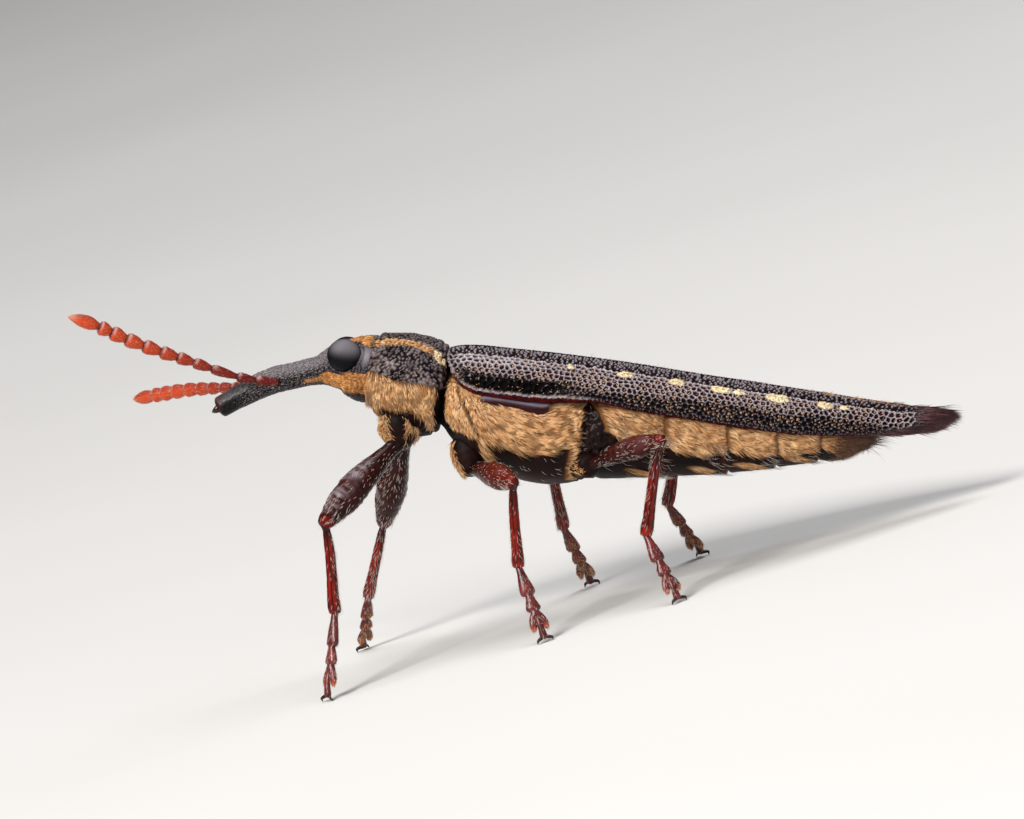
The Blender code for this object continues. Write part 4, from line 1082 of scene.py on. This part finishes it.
def face():
    # Laid from the back of the head to the mouth, so that along runs forwards.
    points, *radii = zip(*FACE)
    skin = limb(points, list(zip(*radii)), 200, 166, (0, 0, 1), (0.05, 0.13), True)
    x, y, z = np.moveaxis(skin.base, -1, 0)
    off_middle = np.abs(y) > 0.12
    from_eye = np.stack([x, np.abs(y), z], -1) - np.array(EYE_CENTRE)
    d = np.linalg.norm(from_eye / np.array(EYE_RADII), axis=-1)
    along, around = spread(skin)
    near = pit_lattice(along / 0.080, around / 0.066, 0.7, 0.080, 0.066, 61)
    grain = fade(0.008, 0.036, near[0])
    tip = smooth(5.05, 5.6, -x)
    # Behind each eye the horn is smoother, and a painted highlight pales it, brightest at its middle.
    slate = np.exp(-(((x + 2.14) / 0.13) ** 2) - ((z + 0.52) / 0.21) ** 2) * (np.abs(y) > 0.3)
    # Tan fur below the eye, in a streak in front of it, and on the crown behind it.
    under = np.interp(x, [-3.35, -3.24, -2.81, -2.44, -2.07], [-1.30, -1.38, -1.44, -1.49, -1.53])
    over = np.interp(x, [-3.35, -3.24, -2.7, -2.35, -2.09], [-1.20, -1.12, -1.05, -0.98, -1.03])
    wobble = 0.05 * skin.noise(0.2, 64)
    cheek = smooth(-0.03, 0.03, z - under - wobble) * smooth(-0.03, 0.03, over - z + wobble)
    cheek *= between(x, -3.42, -3.25, -2.06, -2.00) * (np.abs(y) > 0.2) * (d > 1.0)
    streak = 0.4 * ridge(z + 1.30 - 0.36 * (x + 3.4), 0.05) * smooth(-3.9, -3.5, x) * (x < -3.3) * off_middle
    crown = smooth(-0.26, -0.16, z + 0.06 * skin.noise(0.2, 62)) * off_middle
    crown *= between(x, -2.72, -2.58, -2.06, -1.98)
    tan = np.clip(cheek + streak + crown, 0, 1)
    relief = 0.016 * grain * (1 - tip) * (1 - slate) + 0.006 * skin.noise(0.3, 63)
    relief += 0.035 * ridge(d - 1.12, 0.07) - 0.05 * fade(0.9, 1.02, d)
    # The pit from which each feeler grows, and a shallow groove behind it.
    socket = np.hypot((x + 4.42) / 0.16, (z + 1.50) / 0.10) + (np.abs(y) < 0.15) * 9
    groove = ridge(z + 1.53 - 0.36 * (x + 4.4), 0.045) * between(x, -4.4, -4.2, -3.6, -3.3) * off_middle
    relief -= 0.06 * fade(0.5, 1.1, socket) + 0.025 * groove
    # A low keel down the middle of the snout.
    upper = z > np.interp(x, [-6, -3.3], [-2.4, -1.1])
    relief += 0.018 * ridge(y, 0.05) * smooth(3.3, 3.7, -x) * (1 - tip) * upper
    skin.push(relief)
    # A painted highlight on the upward faces of the snout, weaker on its tip and none on the fur.
    painted_light = smooth(-0.1, 0.55, skin.normal[..., 2]) * smooth(2.75, 3.2, -x)
    skin.piece(
        "face_skin", "face_horn", "head", "head", "rostrum",
        grain=grain,
        gloss=np.clip(tip + groove * 0.6, 0, 1),
        slate=slate,
        tan=tan * 0.9,
        brown=0.5 * smooth(5.80, 5.93, -x),
        chin=smooth(0.0, 0.08, under - z) * smooth(-3.6, -3.2, x),
        top=painted_light * (1 - 0.45 * tip) * (1 - tan) * 0.8,
    )

    # Along runs forwards here, so half a turn lays hair backwards.
    coat = Coat("face_coat", "cheek_hair", 61, strips=2)
    coat.sow(skin, 3600, cheek, (math.pi, 0.2), (0.11, 0.20), 0.018, 0.24, 0.12, (0, 0.1), lock=0.1)
    coat.sow(skin, 300, streak, (math.pi, 0.25), (0.07, 0.13), 0.012, 0.24, 0.12)
    coat.sow(skin, 1500, crown, (math.pi, 0.3), (0.12, 0.20), 0.018, 0.26, 0.12, (0, 0.1), strip=1, lock=0.1)
    coat.finish()
    coat = Coat("snout_hair", "white_hair", 62)
    weight = (1 - tan) * smooth(2.9, 3.3, -x) * (1 - tip)
    coat.sow(skin, 900, weight, (math.pi, 0.5), (0.04, 0.07), 0.008, 0.3, waist=0.5)
    coat.finish()


def eye(name, hand):
    polar = np.linspace(0.03, math.pi - 0.03, 60)[:, None]
    around = -np.linspace(0, TAU, 96, endpoint=False)[None]
    wide = np.sin(polar)
    ball = np.stack([np.cos(polar) + 0 * around, wide * np.sin(around), wide * np.cos(around)], -1)
    skin = Skin(ball * np.array(EYE_RADII) + np.array(EYE_CENTRE) * (1, hand, 1))
    skin.push(0.003 * fade(0.2, 0.8, grains(skin.base, 0.035, 65)))
    # A painted reflection of a bright sky pales the upper half, most where it faces up and outwards.
    painted_light = skin.normal @ np.array((0.14, 0.85 * hand, 0.50))
    sky = smooth(0.15, 1.0, painted_light) * smooth(-0.30, 0.50, skin.normal[..., 2])
    skin.piece("eye_lens_" + name, "eye_lens", "eye", "eye_" + name, sky=sky)


def jaw(name, hand):
    """A small hooked jaw at the end of the snout."""
    base = np.array(FACE[-1][0])
    forward = unit(base - np.array(FACE[-2][0]))
    places = ((0.06, 0.12), (0.16, 0.14), (0.26, 0.05))
    bend = [base + forward * ahead + np.array((0, hand * aside, 0)) for ahead, aside in places]
    skin = limb(bend, [(0.09, 0.12), (0.08, 0.09), (0.03, 0.04)], 14, 18, (0, 0, 1), (0.02, 0.03), True)
    skin.piece("jaw_" + name, "claw_horn", "rostrum")


def feeler(name, hand):
    path = catmull(FEELERS[name], np.linspace(0, len(FEELERS[name]) - 1, 400))
    reach = reach_along(path)
    stretch = reach[-1] / sum(length for length, _ in FEELER_JOINTS)
    rows = []
    start = 0.0
    for k, (length, wide) in enumerate(FEELER_JOINTS):
        length *= stretch
        last = k == len(FEELER_JOINTS) - 1
        narrow = 0.52 if k else 0.8
        # Each joint widens from its root like a bead, and the last one ends in a point.
        shares = [0.22, 0.42, 0.62, 0.80, 0.93, 1.0] if last else [0.30, 0.60, 0.80, 0.93, 0.985]
        widths = [0.88, 1.0, 0.88, 0.62, 0.36, 0.16] if last else [0.80, 0.96, 1.0, 0.86, 0.60]
        for s in np.linspace(0, shares[-1], 22):
            radius = wide * np.interp(s, [0.0, 0.06, *shares], [narrow, narrow + 0.04, *widths])
            waist = ridge(s, 0.07) + (not last) * ridge(s - 1, 0.05)
            ring = (not last) * ridge(s - 0.86, 0.09)
            rows.append((start + s * length, radius, waist, (start + 0.5 * length) / reach[-1], ring))
        start += length
    at, radius, waist, far, ring = np.array(rows).T
    forward = unit(look_up(at, reach, unit(np.gradient(path, axis=0))))
    radius = radius[:, None]
    columns, steps = 36, 3
    rings = hoops(look_up(at, reach, path), forward, (0, 0, 1), radius, radius, columns)
    skin = Skin(closed_ends(rings, 0.04, 0.02, steps))
    grids = (waist, far, ring, at / reach[-1])
    waist, far, ring, share = (np.pad(grid, steps, "edge")[:, None] + np.zeros(columns) for grid in grids)
    # Painted light: the upward faces of each joint get painted shade, and their upper ends a painted
    # highlight.
    painted_up_side = smooth(-0.1, 0.8, to_floor(skin.normal)[..., 2] - UP[2])
    skin.push(0.006 * skin.noise(0.06, 71))
    skin.piece(
        f"antenna_{name}_skin", "feeler_horn", "antenna", "antenna_" + name,
        waist=np.clip(waist, 0, 1),
        reach=smooth(0.1, 0.75, far),
        tip=smooth(0.955, 1.0, share),
        over=0.55 * painted_up_side,
        ring=0.65 * ring * painted_up_side,
    )
    coat = Coat(f"antenna_{name}_hair", "feeler_hair", 71 + (hand < 0))
    coat.sow(skin, 1500, 0.25 + 0.75 * share, (0, 0.25), (0.05, 0.09), 0.005, 0.50, 0.15, waist=0.5)
    coat.finish()


def leg(key):
    pair, name = key.rsplit("_", 1)
    hand = HANDS[name]
    hip, knee, ankle, toe = (np.array(p, float) for p in LEG_JOINTS[key])
    salt = 100 + 10 * sorted(LEG_JOINTS).index(key)
    hair = Coat("leg_hair_" + key, "white_hair", salt, strips=6)
    coxa(key, pair, hand, hip, salt, hair.rng)
    femur(key, pair, hand, hip, knee, salt, hair)
    tibia(key, unit(knee - hip), knee, ankle, salt, hair)
    foot(key, ankle, toe, salt, hair)
    hair.finish()


def coxa(key, pair, hand, hip, salt, dice):
    top = to_floor(np.array(COXA_TOPS[pair]) * (1, hand, 1))
    points = [top + (hip - top) * share for share in (0, 0.4, 0.8, 1.1)]
    skin = limb(points, [r * 0.98 for r in COXA_RADII[pair]], 30, 48, (0, 1, 0), (0.15, 0.14))
    skin.push(0.012 * skin.noise(0.12, salt) + 0.010 * fade(0.2, 0.8, grains(skin.base, 0.12, salt)))
    dull = np.full(skin.base.shape[:2], 0.6)
    skin.piece("coxa_skin_" + key, "polished_horn", "coxa", "coxa_" + key, dull=dull)
    facing = skin.normal[..., 0]
    edges = smooth(0.25, 0.6, np.abs(facing)) if pair == "front" else smooth(0.5, 0.8, -facing)
    fur = edges * smooth(-0.3, 0.2, skin.noise(0.4, salt + 1) + 0.2)
    coat = Coat("coxa_coat_" + key, "tan_hair", salt + 2)
    count = {"front": 1100, "middle": 420, "hind": 260}[pair]
    coat.sow(skin, count, fur, (0, 0.4), (0.14, 0.26), 0.018, 0.30, 0.15, (0, 0.1), dice=dice, lock=0.1)
    coat.finish()


def femur(key, pair, hand, hip, knee, salt, hair):
    wide = FEMUR_RADIUS[pair]
    axis = unit(knee - hip)
    bow = unit(np.cross(axis, np.cross((0, 0, 1.0), axis)))
    spine = [hip + (knee - hip) * s + bow * 0.05 * math.sin(math.pi * min(s, 1)) for s in FEMUR_SHARES]
    thickness = zip(FEMUR_SHARES, FEMUR_WIDTHS)
    radii = [(wide * w * 0.94, wide * w * (1.0 if 0.2 < s < 0.9 else 0.96)) for s, w in thickness]
    skin = limb(spine, radii, 84, 56, bow, (0.06, 0.08))
    reach = share_along(skin)
    # Fine wrinkles run across the thick part.
    side = unit(np.cross(axis, (0.3, 1.0, 0.2)))
    turned = skin.base @ np.stack([side, np.cross(axis, side), axis], -1)
    wrinkle = noise(turned * (1.0, 1.0, 3.8), 0.30, salt + 4)
    dimple = fade(0.0, 0.3, grains(skin.base, 0.13, salt + 3))
    skin.push(0.026 * wrinkle * between(reach, 0.2, 0.4, 0.85, 0.95) - 0.012 * dimple)
    # A painted highlight: a pale lilac band where the wrinkles of the thick part face up and outwards,
    # strongest on the front thighs.
    sheen = smooth(0.45, 0.95, skin.normal @ unit(np.array((-0.35, hand * 0.75, 0.60))))
    sheen = sheen * between(reach, 0.25, 0.5, 0.80, 0.92) * smooth(-0.25, 0.6, wrinkle)
    redness = {"front": 0.15, "middle": 0.85, "hind": 0.45}[pair]
    skin.piece(
        "femur_skin_" + key, "thigh_horn", "femur", "femur_" + key,
        knee=0.9 * smooth(0.90, 0.96, reach) * smooth(-0.4, 0.4, skin.noise(0.25, salt + 5)),
        red=redness * smooth(0.15, 0.65, reach) * (0.65 + 0.45 * skin.noise(0.30, salt + 10)),
        dark=0.55 * fade(0.0, 0.35, reach),
        crest={"front": 0.55, "middle": 0.05, "hind": 0.07}[pair] * sheen,
    )
    count = {"front": 360, "middle": 280, "hind": 230}[pair]
    weight = (0.35 + smooth(-0.1, 0.5, skin.noise(0.5, salt + 9))) * between(reach, 0.08, 0.2, 0.95, 0.99)
    hair.sow(skin, count, weight, (0, 0.16), (0.11, 0.18), 0.008, 0.55, 0.35, (0, 0.12))
    weight = between(reach, 0.72, 0.84, 0.93, 0.98) * (skin.normal[..., 2] < 0.2)
    hair.sow(skin, 60, weight, (0, 0.25), (0.16, 0.28), 0.011, 0.35, 0.1, (0, 0.1), strip=5)


def tibia(key, axis, knee, ankle, salt, hair):
    shin = ankle - knee
    out = unit(np.cross(unit(shin), np.cross(axis, unit(shin))))
    bows = [0.05 * math.sin(math.pi * np.clip(s * 1.3, 0, 1)) for s in TIBIA_SHARES]
    spine = [knee + shin * s - out * bow for s, bow in zip(TIBIA_SHARES, bows)]
    skin = limb(spine, [(w, w * 1.08) for w in TIBIA_WIDTHS], 84, 46, out, (0.05, 0.05))
    reach = share_along(skin)
    # Seven grooves run down the shin.
    turn = np.linspace(0, TAU, skin.base.shape[1], endpoint=False)[None] + 0 * reach
    groove = smooth(0.25, 0.95, np.cos(7 * turn + 0.5 * skin.noise(0.5, salt + 6)))
    groove *= between(reach, 0.12, 0.2, 0.92, 0.97)
    skin.push(-0.014 * groove + 0.004 * skin.noise(0.07, salt + 7))
    groove = np.clip(groove * 0.85 + 0.88 * fade(0.12, 0.40, reach), 0, 1)
    skin.piece("tibia_skin_" + key, "shin_horn", "tibia", "tibia_" + key, groove=groove)
    weight = smooth(0.10, 0.2, reach) * (0.25 + smooth(-0.3, 0.5, -skin.normal @ out))
    hair.sow(skin, 280, weight, (0, 0.2), (0.12, 0.20), 0.0075, 0.62, 0.2, (0, 0.08), strip=1)


def foot(key, ankle, toe, salt, hair):
    """Three pads, the last one cleft, then the claw joint and two hooked claws."""
    gold = Coat("sole_hair_" + key, "cheek_hair", salt + 9)
    along = unit(toe - ankle)
    across = unit(np.cross(along, (0, 0, 1.0)))
    back = np.cross(across, along)
    back = -back if back[2] < 0 else back

    def at(share, aside, up):
        return ankle + (toe - ankle) * share + across * aside + back * up

    for part, rows in FOOT_PARTS.items():
        skin = limb([at(*row[:3]) for row in rows], [row[3:] for row in rows], 20, 28, back, (0.03, 0.03))
        reach = share_along(skin)
        skin.push(0.005 * skin.noise(0.06, salt + 8))
        replaced = ("tarsus_" + key,) if part == "pad_one" else ()
        dark = 0.8 * fade(0.0, 0.22, reach)
        edge = smooth(0.65, 1.0, reach) * part.startswith("lobe")
        skin.piece(f"{part}_{key}", "foot_horn", "tarsus", *replaced, dark=dark, edge=edge)
        slim = part == "claw_joint"
        weight = smooth(0.1, 0.4, reach)
        hair.sow(skin, 20 if slim else 60, weight, (0, 0.3), (0.07, 0.12), 0.008, 0.35, strip=2)
        weight = (skin.normal @ -back > 0.5) * smooth(0.2, 0.5, reach) + 1e-9
        gold.sow(skin, 1 if slim else 80, weight, (0, 0.35), (0.06, 0.10), 0.009, 0.55, dice=hair.rng)
    gold.finish()
    for hand, part in ((1, "near"), (-1, "far")):
        tip = toe + across * hand * 0.22
        tip[2] = 0.012
        start = at(0.93, hand * 0.045, 0.01)
        middle = start * 0.45 + tip * 0.55 + back * 0.07 + across * hand * 0.05
        points = [start, start * 0.7 + middle * 0.3 + back * 0.02, middle, tip]
        claw = limb(points, [0.055, 0.050, 0.036, 0.008], 26, 20, back, (0.03, 0.005))
        claw.piece(f"claw_{part}_{key}", "claw_horn", "claw")


SKY_COLOUR = (0.93, 0.95, 1.0, 1.0)
SKY_STRENGTH = 0.19
# Name, place in metres, size, power and colour of each lamp.
LAMPS = [
    ("key", (-0.13, -0.24, 0.27), 0.14, 1.95, (1.0, 0.97, 0.93)),
    ("top", (0.06, 0.02, 0.36), 0.20, 0.90, (0.97, 0.98, 1.0)),
    ("fill", (0.28, -0.25, 0.10), 0.25, 0.12, (0.95, 0.97, 1.0)),
]


def studio():
    look = Look("studio_floor")
    tone = look.mix(look.span(look.noise(40.0, 2.0), 0.3, 0.7), (0.55, 0.54, 0.525), (0.58, 0.57, 0.555))
    look.set(tone, 0.75)
    size = 3.0
    mesh = bpy.data.meshes.new("studio_floor")
    corners = [(-size, -size, 0), (size, -size, 0), (size, size, 0), (-size, size, 0)]
    mesh.from_pydata(corners, [], [(0, 1, 2, 3)])
    mesh.materials.append(LOOKS["studio_floor"])
    floor = bpy.data.objects.new("studio_floor", mesh)
    bpy.context.scene.collection.objects.link(floor)
    for name, place, size, power, colour in LAMPS:
        data = bpy.data.lights.new(name, "AREA")
        data.size, data.energy, data.color = size, power, colour
        light = bpy.data.objects.new(name, data)
        light.location = place
        light.rotation_euler = (Vector((0, 0, 0.006)) - Vector(place)).to_track_quat("-Z", "Y").to_euler()
        bpy.context.scene.collection.objects.link(light)
    world = bpy.data.worlds.new("studio")
    world.use_nodes = True
    background = world.node_tree.nodes["Background"]
    background.inputs["Color"].default_value = SKY_COLOUR
    background.inputs["Strength"].default_value = SKY_STRENGTH
    bpy.context.scene.world = world
    bpy.context.scene.view_settings.view_transform = "Standard"


# The photo's view: its angles, how the trunk slopes in it, and where the trunk's origin lies.
AZIMUTH, ELEVATION = 6.0, 7.0
AXIS_IN_PICTURE = -7.0
PIXEL_MM = 0.02663
PICTURE = (1024, 819)
ORIGIN_PIXEL = (450.0, 346.0)
LENS, SENSOR = 400.0, 36.0


def camera():
    upright = math.radians(90 - ELEVATION)
    turned = Matrix.Rotation(math.radians(AZIMUTH), 4, "Z") @ Matrix.Rotation(upright, 4, "X")
    # The trunk's axis as this view shows it says how far the picture is rolled.
    axis = turned.inverted() @ Vector((math.cos(TRUNK_PITCH), 0, -math.sin(TRUNK_PITCH)))
    roll = math.atan2(axis.y, axis.x) - math.radians(AXIS_IN_PICTURE)
    turned = turned @ Matrix.Rotation(roll, 4, "Z")
    aside = PICTURE[0] / 2 - ORIGIN_PIXEL[0]
    up = ORIGIN_PIXEL[1] - PICTURE[1] / 2
    away = LENS * PICTURE[0] / SENSOR
    origin = Vector(SHIFT + (0, 0, TRUNK_HEIGHT)) * MM
    data = bpy.data.cameras.new("camera")
    data.lens, data.sensor_width = LENS, SENSOR
    data.clip_start, data.clip_end = 0.01, 50.0
    view = bpy.data.objects.new("camera", data)
    place = origin + turned @ Vector((aside, up, away)) * PIXEL_MM * MM
    view.matrix_world = Matrix.Translation(place) @ turned
    bpy.context.scene.collection.objects.link(view)
    bpy.context.scene.camera = view


trunk_looks()
head_looks()
leg_looks()
hair_looks()
camera()
studio()
prothorax()
thorax()
abdomen()
for name, hand in HANDS.items():
    wing_case(name, hand)
face()
for build in (eye, jaw, feeler):
    for name, hand in HANDS.items():
        build(name, hand)
for leg_key in LEG_JOINTS:
    leg(leg_key)
